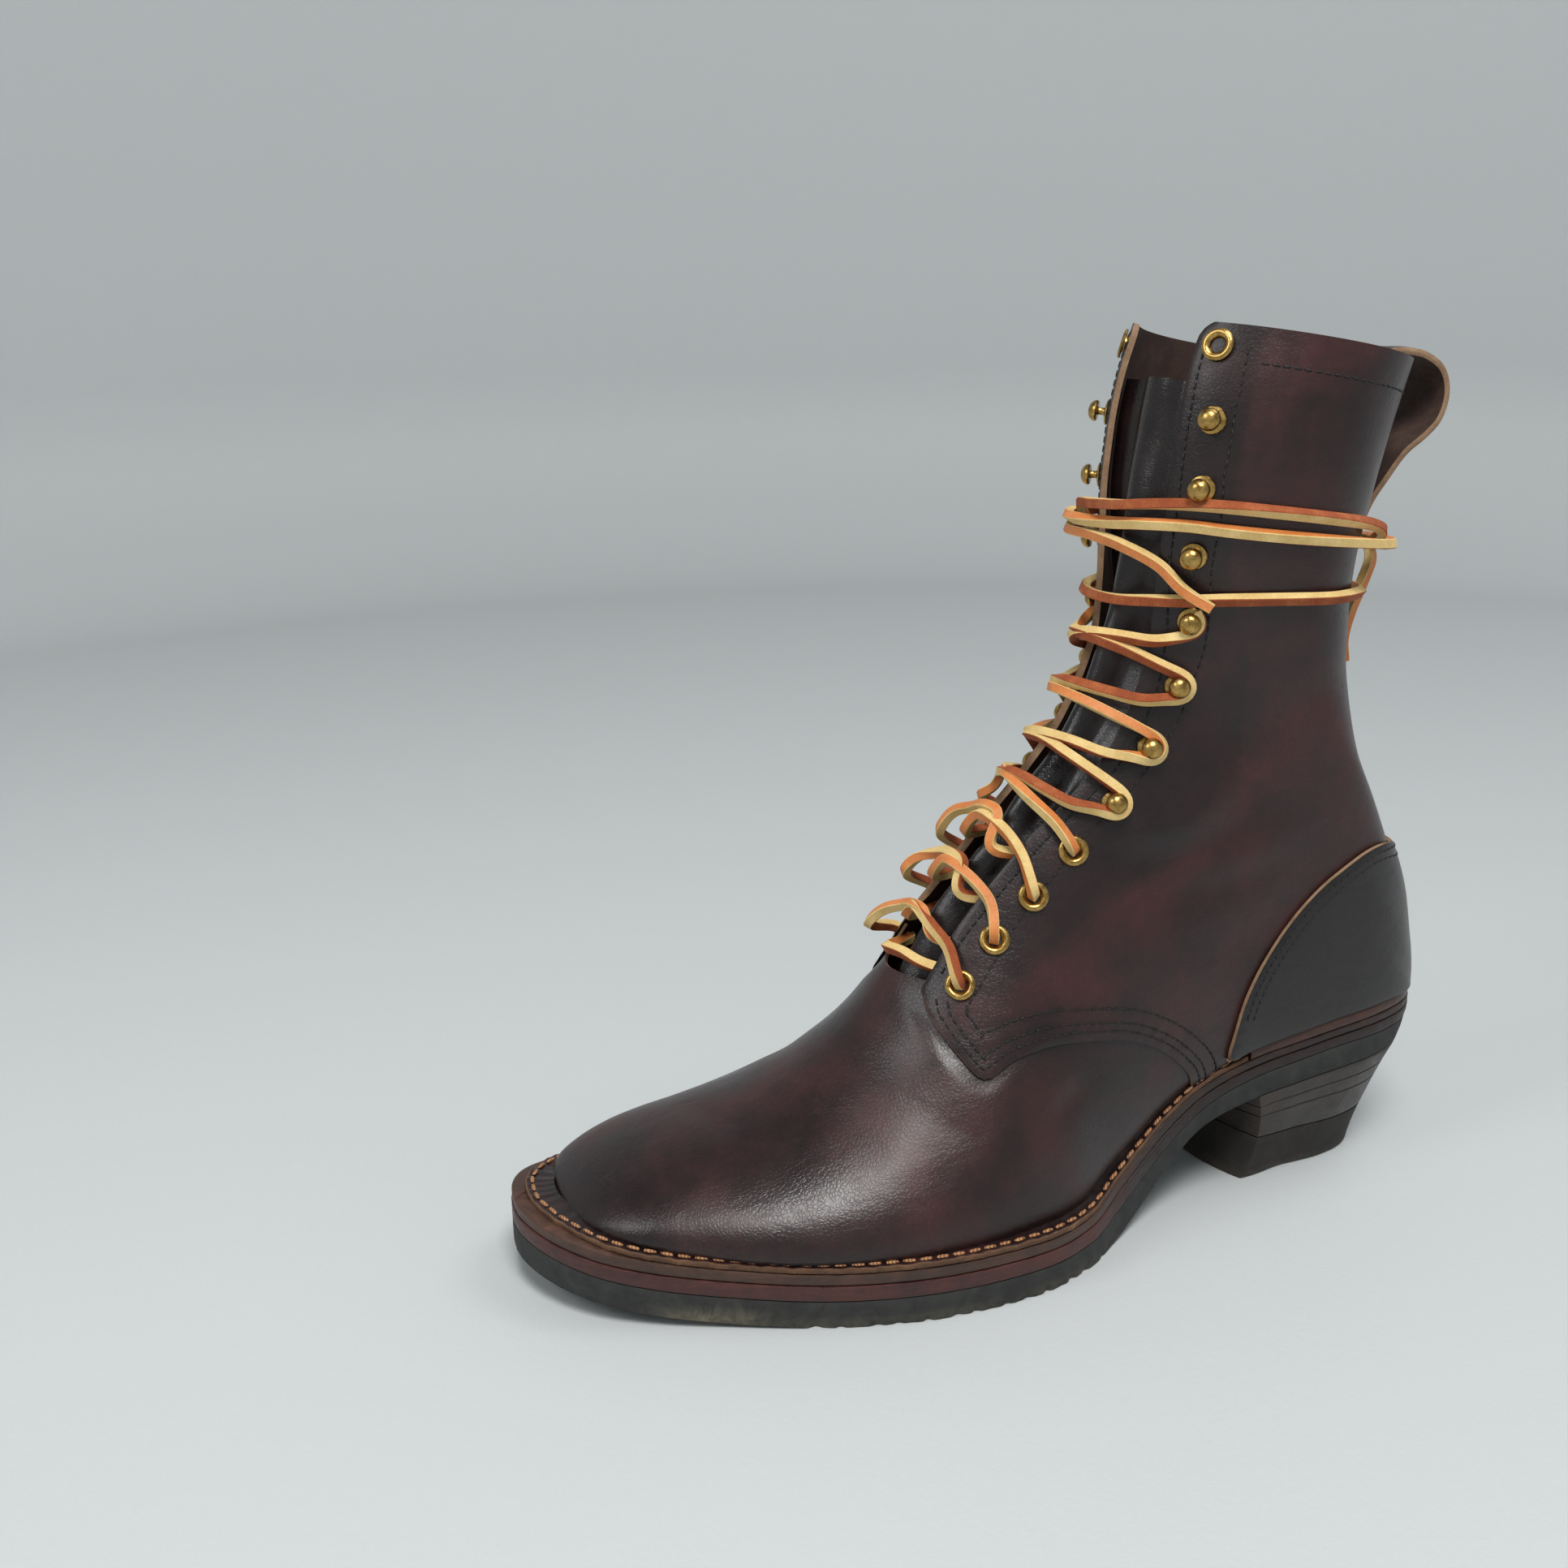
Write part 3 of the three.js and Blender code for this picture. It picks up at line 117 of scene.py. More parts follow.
# Sections of the outer form from the toe to the collar
SECTIONS = columns("top rise foot back lift full at crown base lean", """
.9575 .0046 .957 nan nan .06 .4 2 2 -.21 | .952 .0124 .951 nan nan .3 .3 2 2 -.2 |
.939 .0281 .938 nan nan .46 .28 2 2 -.19 | .918 .0461 .917 nan nan .59 .26 2.05 2 -.17 |
.89 .0636 .888 nan nan .7 .24 2.1 2 -.15 | .854 .0801 .851 nan nan .8 .22 2.05 2 -.13 |
.813 .0957 .809 nan nan .89 .2 1.95 2 -.1 | .769 .1153 .764 nan nan .96 .18 1.85 2 -.08 |
.724 .1419 .718 nan nan 1 .17 1.75 2 -.06 | .682 .1771 .669 nan nan 1.01 .17 1.65 2 -.04 |
.645 .2209 .615 nan nan .99 .17 1.6 2 -.03 | .613 .2796 .555 nan nan .94 .18 1.6 2 -.02 |
.58 .3458 .49 nan nan .86 .2 1.65 2 -.01 | .543 .4025 .42 nan nan .76 .25 1.75 2 0 |
.506 .4516 .345 nan nan .7 .32 1.9 2 0 | .468 .5007 .255 nan nan .675 .38 2 2 0 |
.44 .5513 .16 nan nan .67 .4 2 2.1 0 | .42 .5983 .08 nan nan .67 .43 2 2.3 0 |
.408 .6351 .033 nan nan .67 .45 2 2.4 0 | .401 .6601 .015 nan nan .675 .46 2 2.5 0 |
.397 .6813 nan .017 .262 .804 .46 2 2.4 0 | .394 .7029 nan .027 .31 .816 .46 2 2.3 0 |
.391 .7223 nan .046 .36 .833 .46 2 2.2 0 | .388 .7429 nan .071 .415 .857 .46 2 2.15 0 |
.385 .7658 nan .103 .48 .88 .46 2 2.1 0 | .382 .7932 nan .124 .555 .916 .47 2 2 0 |
.379 .823 nan .138 .635 .951 .47 2 2 0 | .375 .8584 nan .14 .715 .98 .47 2 2 0 |
.371 .8963 nan .128 .793 .998 .47 2 2 0 | .364 .9377 nan .112 .87 1.01 .47 2 2 0 |
.348 1 nan .091 .948 1.01 .47 2 2 0
""")
# Step and wall of the upper by section number
WALLS = columns("along sunk wall", """
0 0 .85 | 10 0 .85 | 14 1 1.25 | 18 1 1.25 | 22 1 1 | 30 1 1
""")
# Lower front edge of the quarters in the side view
QUARTER_EDGE = columns("along rise", """
.61 .429 | .6088 .298 | .61 .285 | .607 .2736 | .5953 .249 | .5786 .228 | .5455 .2436 |
.5103 .2505 | .4633 .2465 | .4164 .237 | .3862 .2218 | .3651 .2066 | .3422 .1838 | .3284 .1644 |
.308 .099
""")
# Front and upper edge of the counter in the side view, rise from the heel seat
COUNTER_EDGE = columns("along rise", """
.285 -.0058 | .2762 .0582 | .2645 .0994 | .2469 .1385 | .215 .1904 | .1777 .2341 | .1384 .2655 |
.1088 .2712 | .0587 .2539 | -.03 .2456
""")
# Facing edges from the throat to the collar
THROAT = columns("along rise gap", """
.603 .31 .78 | .572 .36 .755 | .531 .416 .77 | .493 .462 .805 | .4516 .5036 .885 |
.4106 .5545 .94 | .393 .5875 .93 | .3724 .657 .89 | .3695 .746 .9 | .3648 .832 1 | .356 .914 .99 |
.341 .977 .955 | .325 1.09 .93
""")
# Places of the brass: share of the height, share of the shaft half width
FASTENINGS = columns("rise out", """
.3135 .539 | .3587 .522 | .402 .52 | .448 .526 | .4957 .535 | .5528 .526 | .6185 .522 |
.6904 .554 | .7604 .593 | .83 .633 | .8993 .639 | .9733 .561
""")
# Folds of the tongue across the throat
TONGUE_FOLDS = columns("along dip", """
0 .25 | .35 .5 | .7 1 | 1 .5 | 1.25 0 | 2.5 0
""")
# Middle line of the pull loop
STRAP_PATH = columns("back lift", """
.1316 .8647 | .1237 .8977 | .1152 .9274 | .111 .9439 | .1062 .9558 | .0968 .9617 | .0821 .963 |
.0689 .9614 | .054 .958 | .033 .945 | .0235 .928 | .022 .908 | .029 .886 | .044 .87 | .067 .852 |
.088 .824 | .104 .8 | .117 .77
""")
# Routes of the lace's two free ends, in millimetres
OUTER_END = (
    (35.8, -61.5, 214.5), (28.9, -67.9, 220), (21, -72, 227), (9, -78.5, 232.5),
    (-8, -79.5, 234.2), (-24.7, -77.7, 234), (-41.4, -64.7, 233.4), (-45, -42.3, 232.8),
    (-47, -21.4, 232), (-36.9, -3.7, 231), (-23.7, 11.1, 230), (-1.9, 20, 229.6),
    (21.1, 15.4, 230.2), (42.4, 0.2, 232.2), (47.6, -25.9, 235.4), (43.9, -46, 237.6),
    (36.4, -58.4, 239), (28.5, -66.3, 240), (16, -75, 240), (0, -78.5, 239),
    (-17.7, -80.3, 238.8), (-34.9, -71.5, 238.6), (-42.6, -50, 238.2), (-47.9, -30.1, 237.6),
    (-41.3, -7.7, 236.4), (-27.5, 9.9, 234.8), (-8.7, 19.7, 232.4), (8.6, 18.9, 229.5),
    (17.6, 15.1, 224), (18.7, 11.6, 216), (17, 9, 206), (15.2, 8.3, 196), (14.9, 9.8, 188),
)
INNER_END = (
    (-30.5, -61.5, 215.2), (-22, -72.5, 214.8), (-8, -79, 214.6), (8, -78.5, 214.8),
    (19.3, -72.2, 215.6), (28.8, -63.8, 216.2), (34.9, -55.3, 216.8), (42.8, -41.8, 217.3),
    (46.3, -23.5, 217), (35.9, -4.4, 216), (20.6, 6, 214.6), (0, 13.3, 214), (-17.3, 7.8, 214.6),
    (-33.2, -1.8, 216.6), (-44.2, -17.9, 219.4), (-45.8, -36.6, 222.6), (-41.8, -49.7, 226.6),
    (-38.6, -59.8, 231.6), (-32.9, -66.7, 236.6), (-22, -75.5, 243.2), (-8, -79.5, 244.6),
    (8, -78.8, 245.6), (17.5, -73.7, 246.4), (28.7, -66.6, 246.8), (36.8, -58.7, 246.4),
    (44.8, -44.7, 244.8), (47.5, -26, 242.2), (42, -7.4, 239), (33.2, 5.2, 235),
    (24.3, 9.7, 230.5),
)


# Helpers for shapes

def look(table, column, along):
    """Value of a column at a place, by a monotone cubic run between the rows."""
    a, v = table["along"], table[column]
    x = np.asarray(along, float)
    i = np.clip(np.searchsorted(a, x) - 1, 0, len(a) - 2)
    h = a[i + 1] - a[i]
    slope = np.concatenate([[0.0], np.diff(v) / np.maximum(np.diff(a), 1e-6), [0.0]])
    mid, before, after = slope[i + 1], slope[i], slope[i + 2]
    m0 = np.where(before * mid <= 0, 0, (mid + before) / 2) * h
    m1 = np.where(after * mid <= 0, 0, (mid + after) / 2) * h
    return cubic(np.clip((x - a[i]) / h, 0, 1), v[i], v[i + 1], m0, m1)


def cubic(t, start, end, leaving, arriving):
    """A cubic from start to end at shares t of the step, with its tangents at both ends."""
    return ((2 * t**3 - 3 * t**2 + 1) * start + (t**3 - 2 * t**2 + t) * leaving
            + (3 * t**2 - 2 * t**3) * end + (t**3 - t**2) * arriving)


def unit(v):
    return v / np.maximum(np.linalg.norm(v, axis=-1, keepdims=True), 1e-9)


def smooth(x, low, high):
    """0 below low, 1 above high, and a soft step between them."""
    t = np.clip((np.asarray(x, float) - low) / (high - low), 0, 1)
    return t * t * (3 - 2 * t)


def curve(points, count, closed=False):
    """Points at even steps along a centripetal Catmull-Rom curve through the given ones."""
    p = np.asarray(points, float)
    if closed:
        q = np.concatenate([p[-1:], p, p[:2]])
    else:
        q = np.concatenate([2 * p[:1] - p[1:2], p, 2 * p[-1:] - p[-2:-1]])
    a, b, c, d = q[:-3], q[1:-2], q[2:-1], q[3:]
    step = lambda u, v: np.maximum(np.linalg.norm(v - u, axis=1) ** 0.5, 1e-4)[:, None]
    h0, h1, h2 = step(a, b), step(b, c), step(c, d)
    m0 = h1 * ((b - a) / h0 - (c - a) / (h0 + h1) + (c - b) / h1)
    m1 = h1 * ((c - b) / h1 - (d - b) / (h1 + h2) + (d - c) / h2)
    t = np.linspace(0, 1, 25)[None, :-1, None]
    fine = cubic(t, b[:, None], c[:, None], m0[:, None], m1[:, None])
    fine = np.concatenate([fine.reshape(-1, p.shape[1]), c[-1:]])
    return spaced(fine, count + 1)[:-1] if closed else spaced(fine, count)


def spaced(line, count):
    """A polyline sampled at even steps of its length."""
    run = np.concatenate([[0], np.cumsum(np.linalg.norm(np.diff(line, axis=0), axis=1))])
    at = np.linspace(0, run[-1], count)
    return np.stack([np.interp(at, run, column) for column in line.T], 1)


def length_of(line):
    return float(np.linalg.norm(np.diff(line, axis=0), axis=1).sum())


def place(along):
    return HEEL_BACK - np.asarray(along) * SOLE_LENGTH


def share(y):
    return (HEEL_BACK - np.asarray(y)) / SOLE_LENGTH


# Outlines of the sole

RING = 720
SOLE_EDGE = curve(np.stack([
    OUTLINE["out"] * np.where(OUTLINE["out"] > 0, BALL_OUTER, BALL_INNER),
    place(OUTLINE["along"])], 1), RING, closed=True)
EDGE_OUT = (unit(np.roll(SOLE_EDGE, -1, 0) - np.roll(SOLE_EDGE, 1, 0))
            @ np.array([[0.0, 1.0], [-1.0, 0.0]]))


def inset(column, step=0.0):
    """The sole's outline moved inwards by a column of the margins plus a fixed step."""
    margin = look(MARGINS, column, share(SOLE_EDGE[:, 1])) * BALL_OUTER if column else 0
    return SOLE_EDGE - EDGE_OUT * np.reshape(margin + step, (-1, 1))


def crossing(edge, y):
    """The outer and inner x of an outline at each y."""
    toe = np.argmin(edge[:, 1])
    outer, inner = edge[:toe + 1][::-1], np.concatenate([edge[toe:], edge[:1]])
    return (np.interp(y, np.maximum.accumulate(outer[:, 1]), outer[:, 0]),
            np.interp(y, np.maximum.accumulate(inner[:, 1]), inner[:, 0]))


def spring(y):
    return TOE_SPRING * np.clip((share(y) - SPRING_START) / (1 - SPRING_START), 0, None) ** 2


def mid_top(y):
    return FORE_LEVEL + look(PROFILE, "rise", share(y)) * (HEEL_SEAT - FORE_LEVEL) + spring(y)


def leather_at(y):
    return look(PROFILE, "leather", share(y)) * (SLIP_LEATHER + MID_LEATHER)


def seat_top(y):
    return mid_top(y) + FIT


def mid_under(y):
    return mid_top(y) - leather_at(y) * MID_SHARE + FIT / 2


def slip_top(y):
    return mid_top(y) - leather_at(y) * MID_SHARE - FIT / 2


def slip_under(y):
    return mid_top(y) - leather_at(y) + FIT / 2


def rubber_top(y):
    return mid_top(y) - leather_at(y) - FIT / 2


def rubber_under(y):
    rubber = look(PROFILE, "rubber", share(y)) * RUBBER
    return np.maximum(spring(y), mid_top(y) - leather_at(y) - rubber)


def tucked(p):
    """Points of the heel and what lies over it, drawn in by the heel's undercut."""
    back = np.clip((p[..., 1] + HEEL_FRONT) / (HEEL_BACK + HEEL_FRONT), 0, 1)
    down = np.clip((HEEL_SEAT - p[..., 2]) / HEEL_SEAT, 0, 1)
    out = p.copy()
    out[..., 1] -= back * HEEL_UNDERCUT * look(BACK_LINE, "tuck", down)
    return out


# The boot's outer form

def section_rings(turn):
    """Every section as a ring of points: turn goes from -1 at the outer foot over the top to 1.

    A section runs from its low end to its top end as two quarter superellipses, one from the
    foot's half width out to the widest place and one from there in to the top.
    """
    c = {k: v[:, None] for k, v in SECTIONS.items()}
    front = place(c["top"])
    top = np.stack([c["lean"] * BALL_OUTER, front,
                    seat_top(front) + (BOOT_HEIGHT - seat_top(front)) * c["rise"]], -1)
    on_sole = ~np.isnan(c["foot"])
    y = place(np.where(on_sole, c["foot"], c["back"]))
    z = np.where(on_sole, seat_top(y), np.nan_to_num(c["lift"]) * BOOT_HEIGHT)
    outer, inner = crossing(inset("inset"), y)
    half = np.where(on_sole, (outer - inner) / 2, 0)
    low = np.stack([np.where(on_sole, (outer + inner) / 2, 0), y, z], -1)
    wide = np.maximum(c["full"] * np.where(on_sole, FOOT_WIDTH, SHAFT_WIDTH) / 2, half)
    s = 1 - np.abs(turn)[None, :]
    flank = s < FLANK_SPLIT
    angle = np.where(flank, s / FLANK_SPLIT, (s - FLANK_SPLIT) / (1 - FLANK_SPLIT)) * math.pi / 2
    sine, cosine = np.sin(angle), np.maximum(np.cos(angle), 0)
    lower, upper = 2 / c["base"], 2 / c["crown"]
    up = np.where(flank, c["at"] * (1 - cosine**lower), c["at"] + (1 - c["at"]) * sine**upper)
    out = np.where(flank, half / wide + (1 - half / wide) * sine**lower, cosine**upper)
    ring = low + (top - low) * up[..., None]
    ring[..., 0] += np.where(turn < 0, 1, -1) * out * wide
    return ring


def along_sections(rings, at):
    """Rings between the sections, by a cubic whose tangents weigh the steps on both sides."""
    step = np.maximum(np.linalg.norm(np.diff(rings, axis=0), axis=2, keepdims=True), 1e-3)
    rate = np.diff(rings, axis=0) / step
    between = (step[1:] * rate[:-1] + step[:-1] * rate[1:]) / (step[1:] + step[:-1])
    tangent = np.concatenate([rate[:1], between, rate[-1:]])
    i = np.clip(at.astype(int), 0, len(rings) - 2)
    return cubic((at - i)[:, None, None], rings[i], rings[i + 1],
                 tangent[i] * step[i], tangent[i + 1] * step[i])


def grid_normals(grid, closed_rows):
    """Outward normals of the form's grid; the rows whose ends meet at the back wrap round."""
    along = np.gradient(grid, axis=0)
    left, right = np.roll(grid, 1, 1), np.roll(grid, -1, 1)
    left[:, 0], right[:, -1] = grid[:, 0], grid[:, -1]
    left[closed_rows, 0], right[closed_rows, -1] = grid[closed_rows, -2], grid[closed_rows, 1]
    return unit(np.cross(along, right - left))


# Creases of wear: route (x, y, z) on the outer side, width and depth; a depth below 0 is a ridge
CREASES = (
    (((27, -97, 133), (32, -76, 131), (34, -52, 136), (33, -40, 146)), 7.0, 1.5),
    (((30, -86, 140), (33, -64, 143), (33, -52, 152), (30, -57, 160)), 6.0, -1.3),
    (((28, -92, 122), (34, -67, 119), (36, -40, 122), (37, -18, 130)), 7.5, 1.3),
    (((34, -60, 127), (36, -34, 130), (36, -12, 142)), 7.0, -1.0),
    (((37, -60, 100), (38, -40, 99), (38, -23, 108), (36, -8, 124)), 9.0, 0.9),
    (((30, -62, 168), (35, -42, 172), (37, -20, 184), (30, 4, 190)), 9.0, 1.0),
    (((36, -84, 105), (38, -60, 88), (37, -50, 70)), 9.0, -0.9),
    (((-26, -222, 45), (-12, -221, 49), (9, -216, 48)), 5.0, 0.7),
    (((41, -160, 58), (48, -146, 52), (53, -135, 44)), 5.0, 0.8),
    (((46, -152, 58), (52, -140, 50), (56, -126, 40)), 4.0, -0.6),
    (((50, -123, 52), (48, -112, 58), (44, -100, 62)), 4.5, 0.7),
    (((10, -196, 57), (30, -188, 55), (46, -178, 46)), 8.0, 0.5),
    (((-10, -190, 60), (-28, -184, 56), (-44, -172, 44)), 7.0, 0.6),
)


def relief(p, normal):
    """Height added along the normal: a soft trough or ridge for each crease, on both sides."""
    height = np.zeros(p.shape[:-1])
    for route, width, depth in CREASES:
        line = curve(route, 24)
        for mirror, strength in ((1, 1.0), (-1, 0.8)):
            if mirror < 0 and min(q[0] for q in route) < 20:
                continue
            gap = np.full(height.shape, 1e9)
            ends = np.zeros(height.shape)
            for k, q in enumerate(line * np.array([mirror, 1, 1])):
                d = np.linalg.norm(p - q, axis=-1)
                near = d < gap
                gap = np.where(near, d, gap)
                ends = np.where(near, math.sin(math.pi * (k + 0.5) / len(line)) ** 0.7, ends)
            height -= strength * depth * ends * np.exp(-(gap / width) ** 2)
    return height


STEPS_ALONG, STEPS_ROUND = 8, 216
TURN = np.linspace(-1, 1, STEPS_ROUND + 1)
LAST_SECTION = len(SECTIONS["top"]) - 1
FIRST_CLOSED = 20  # from this section on, the ends of the rings meet at the back
NUMBER = np.linspace(0, LAST_SECTION, LAST_SECTION * STEPS_ALONG + 1)
BARE_FORM = along_sections(section_rings(TURN), NUMBER)
BARE_NORMAL = grid_normals(BARE_FORM, NUMBER >= FIRST_CLOSED)
FORM = BARE_FORM + BARE_NORMAL * relief(BARE_FORM, BARE_NORMAL)[..., None]
NORMAL = grid_normals(FORM, NUMBER >= FIRST_CLOSED)
SUNK_AT = look(WALLS, "sunk", NUMBER)[:, None] * QUARTER_STEP


def signed_distance(outline, y, z):
    """Distance in the side view to a closed outline, above 0 inside it."""
    gap, inside = np.full(y.shape, 1e9), np.zeros(y.shape, bool)
    for (ay, az), (by, bz) in zip(outline, np.roll(outline, -1, 0)):
        ey, ez = by - ay, bz - az
        t = np.clip(((y - ay) * ey + (z - az) * ez) / max(ey * ey + ez * ez, 1e-9), 0, 1)
        gap = np.minimum(gap, np.hypot(y - ay - t * ey, z - az - t * ez))
        if az != bz:
            inside ^= ((az > z) != (bz > z)) & (y < ey * (z - az) / ez + ay)
    return np.where(inside, gap, -gap)


BEHIND, GROUND, ABOVE = 165, 20, 2 * BOOT_HEIGHT  # bounds well clear of the boot
QUARTER_LINE = curve(np.stack([
    place(QUARTER_EDGE["along"]), QUARTER_EDGE["rise"] * BOOT_HEIGHT], 1), 120)
QUARTER_OUTLINE = np.concatenate([
    QUARTER_LINE, [[BEHIND, 0], [BEHIND, ABOVE], [QUARTER_LINE[0, 0], ABOVE]]])
COUNTER_LINE = curve(np.stack([
    place(COUNTER_EDGE["along"]),
    HEEL_SEAT + COUNTER_EDGE["rise"] * (BOOT_HEIGHT - HEEL_SEAT)], 1), 80)
COUNTER_OUTLINE = np.concatenate([COUNTER_LINE, [
    [BEHIND, COUNTER_LINE[-1, 1]], [BEHIND, GROUND], [COUNTER_LINE[0, 0] - 2, GROUND]]])
THROAT_LINE = {"along": THROAT["rise"] * BOOT_HEIGHT, "half": THROAT["gap"] * FACING_GAP / 2}
THROAT_FOOT = THROAT_LINE["along"][0]


def throat_half(z):
    return look(THROAT_LINE, "half", z)


def clip(points, faces, level):
    """Cut a triangle mesh where level crosses 0, and keep the side where it is above."""
    inside = level > 0
    count = inside[faces].sum(1)
    part = faces[(count == 1) | (count == 2)]
    flags = inside[part]
    odd = np.where(flags.sum(1) == 1, flags.argmax(1), (~flags).argmax(1))
    a, b, c = np.take_along_axis(part, (odd[:, None] + np.arange(3)) % 3, 1).T
    pairs = np.sort(np.concatenate([np.stack([a, b], 1), np.stack([a, c], 1)]), 1)
    edges, where = np.unique(pairs, axis=0, return_inverse=True)
    where = where.reshape(-1)
    t = (level[edges[:, 0]] / (level[edges[:, 0]] - level[edges[:, 1]]))[:, None]
    cut = points[edges[:, 0]] * (1 - t) + points[edges[:, 1]] * t
    ab, ac = len(points) + where[:len(part)], len(points) + where[len(part):]
    one = inside[a]
    made = np.concatenate([
        faces[count == 3], np.stack([a, ab, ac], 1)[one],
        np.stack([ab, b, c], 1)[~one], np.stack([ab, c, ac], 1)[~one]])
    return compact(np.concatenate([points, cut]), made)


def compact(points, faces):
    """Drop the points that no face uses, and faces that have shrunk to a line."""
    used, where = np.unique(faces, return_inverse=True)
    faces = where.reshape(faces.shape)
    a, b, c = (points[used, :3][faces[:, k]] for k in range(3))
    return points[used], faces[np.linalg.norm(np.cross(b - a, c - a), axis=1) > 1e-7]


def welded(points, faces):
    """The same mesh with points that lie at one place joined into one."""
    _, first, where = np.unique(
        np.round(points[:, :3], 3), axis=0, return_index=True, return_inverse=True)
    faces = where.reshape(-1)[faces]
    return points[first], faces[(faces != np.roll(faces, 1, 1)).all(1)]


def grid_faces(rows, cols, wrap_rows=False, wrap_cols=False):
    """Quads of a grid of points numbered row by row."""
    i = np.arange(rows if wrap_rows else rows - 1)[:, None]
    j = np.arange(cols if wrap_cols else cols - 1)[None, :]
    a, b = i * cols + j, i * cols + (j + 1) % cols
    c, d = ((i + 1) % rows) * cols + (j + 1) % cols, ((i + 1) % rows) * cols + j
    return np.stack([a, b, c, d], -1).reshape(-1, 4)


def split(quads):
    return np.concatenate([quads[:, [0, 1, 2]], quads[:, [0, 2, 3]]])


def thicken(points, faces, normals, depth):
    """A sheet given a wall: the outer face, the inner one moved in by depth, and the cut edge.

    Returns points and faces, and for each face 0 on the outside, 1 inside and 2 on the edge.
    """
    n = len(points)
    edges = np.concatenate([faces[:, [0, 1]], faces[:, [1, 2]], faces[:, [2, 0]]])
    _, first, count = np.unique(np.sort(edges, 1), axis=0, return_index=True, return_counts=True)
    a, b = edges[first[count == 1]].T
    wall = np.concatenate([np.stack([b, a, a + n], 1), np.stack([b, a + n, b + n], 1)])
    both = np.concatenate([points, points - normals * np.reshape(depth, (-1, 1))])
    made = np.concatenate([faces, faces[:, ::-1] + n, wall])
    return both, made, np.repeat([0, 1, 2], [len(faces), len(faces), len(wall)])


# Places on the form

def seated(u, v, axes, mask, lift=0.0):
    """Points on the form where two of their coordinates are given, with the normals there.

    The nearest grid point is taken, and its tangent plane gives the third coordinate.
    """
    p, n = FORM[mask], NORMAL[mask]
    i, j = axes
    k = 3 - i - j
    u, v = np.broadcast_arrays(np.asarray(u, float), np.asarray(v, float))
    near = np.concatenate([
        np.argmin((p[None, :, i] - a[:, None]) ** 2 + (p[None, :, j] - b[:, None]) ** 2, 1)
        for a, b in zip(np.array_split(u, 12), np.array_split(v, 12)) if len(a)])
    q, m = p[near].copy(), n[near]
    flat = np.where(np.abs(m[:, k]) < 0.15, 0.15 * np.sign(m[:, k] + 1e-9), m[:, k])
    q[:, k] -= np.clip((m[:, i] * (u - q[:, i]) + m[:, j] * (v - q[:, j])) / flat, -3, 3)
    q[:, i], q[:, j] = u, v
    return q + m * np.reshape(lift, (-1, 1)), m


FRONT = NORMAL[..., 1] < -0.1
REAR = NORMAL[..., 1] > 0.1


def on_front(x, z, lift=0.0):
    return seated(x, z, (0, 2), FRONT, lift)


def on_rear(x, z, lift=0.0):
    return seated(x, z, (0, 2), REAR, lift)


def on_side(y, z, side, lift=0.0):
    return seated(y, z, (1, 2), (FORM[..., 0] * side > 0) & (NORMAL[..., 0] * side > 0.1), lift)


# Helpers for Blender's own data

def linear(code):
    """An sRGB hex value such as 4a2a28 as linear red, green and blue."""
    value = np.array([int(code[i:i + 2], 16) / 255 for i in (0, 2, 4)])
    light = np.where(value <= 0.04045, value / 12.92, ((value + 0.055) / 1.055) ** 2.4)
    return tuple(float(v) for v in light)


def mesh_piece(name, points, faces, finishes, kinds=None, shade=None, sharp=0.7):
    """An object from points in millimetres, with a tone at each point that its finish reads; on the
    vamp and flange that tone holds painted shade as well as the leather's own.

    The finishes are names parted by spaces, and kinds says which of them each face has.
    """
    mesh = bpy.data.meshes.new(name)
    mesh.from_pydata((np.asarray(points)[:, :3] / 1000).tolist(), [], np.asarray(faces).tolist())
    mesh.validate()
    for key in finishes.split():
        mesh.materials.append(finish(key))
    if kinds is not None and len(kinds) == len(mesh.polygons):
        mesh.polygons.foreach_set("material_index", np.asarray(kinds, np.int32))
    if shade is not None:
        tones = np.resize(np.asarray(shade, np.float32), len(mesh.vertices))
        mesh.attributes.new("shade", "FLOAT", "POINT").data.foreach_set("value", tones)
    mesh.polygons.foreach_set("use_smooth", np.ones(len(mesh.polygons), bool))
    mesh.update()
    if sharp:
        mesh.set_sharp_from_angle(angle=sharp)
    piece = bpy.data.objects.new(name, mesh)
    bpy.context.scene.collection.objects.link(piece)
    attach(piece, "root")
    return piece


def node(tree, kind, inputs=None, **settings):
    """Add a node with its settings; each input is a value, or a socket to link from."""
    made = tree.nodes.new(kind)
    for key, value in settings.items():
        setattr(made, key, value)
    for key, value in (inputs or {}).items():
        if isinstance(value, bpy.types.NodeSocket):
            tree.links.new(value, made.inputs[key])
        else:
            made.inputs[key].default_value = value
    return made


def blank(name, **shader):
    """A material with a shader ready, its tree and the object's own coordinates."""
    material = bpy.data.materials.new(name)
    material.use_nodes = True
    tree = material.node_tree
    surface = tree.nodes["Principled BSDF"]
    for key, value in shader.items():
        surface.inputs[key.replace("_", " ")].default_value = value
    return material, tree, surface, node(tree, "ShaderNodeTexCoord").outputs["Object"]


def plug(tree, surface, **sockets):
    """Link sockets to the shader's inputs of these names."""
    for key, socket in sockets.items():
        tree.links.new(socket, surface.inputs[key.replace("_", " ")])


def mapped(tree, at, **inputs):
    """Coordinates stretched or turned."""
    return node(tree, "ShaderNodeMapping", {"Vector": at, **inputs}).outputs["Vector"]


def noise(tree, at, size, detail=3.0, rough=0.55, distortion=0.0):
    """Noise whose lumps are about size millimetres across."""
    return node(tree, "ShaderNodeTexNoise", {
        "Vector": at, "Scale": 1000 / size, "Detail": detail, "Roughness": rough,
        "Distortion": distortion}).outputs["Fac"]


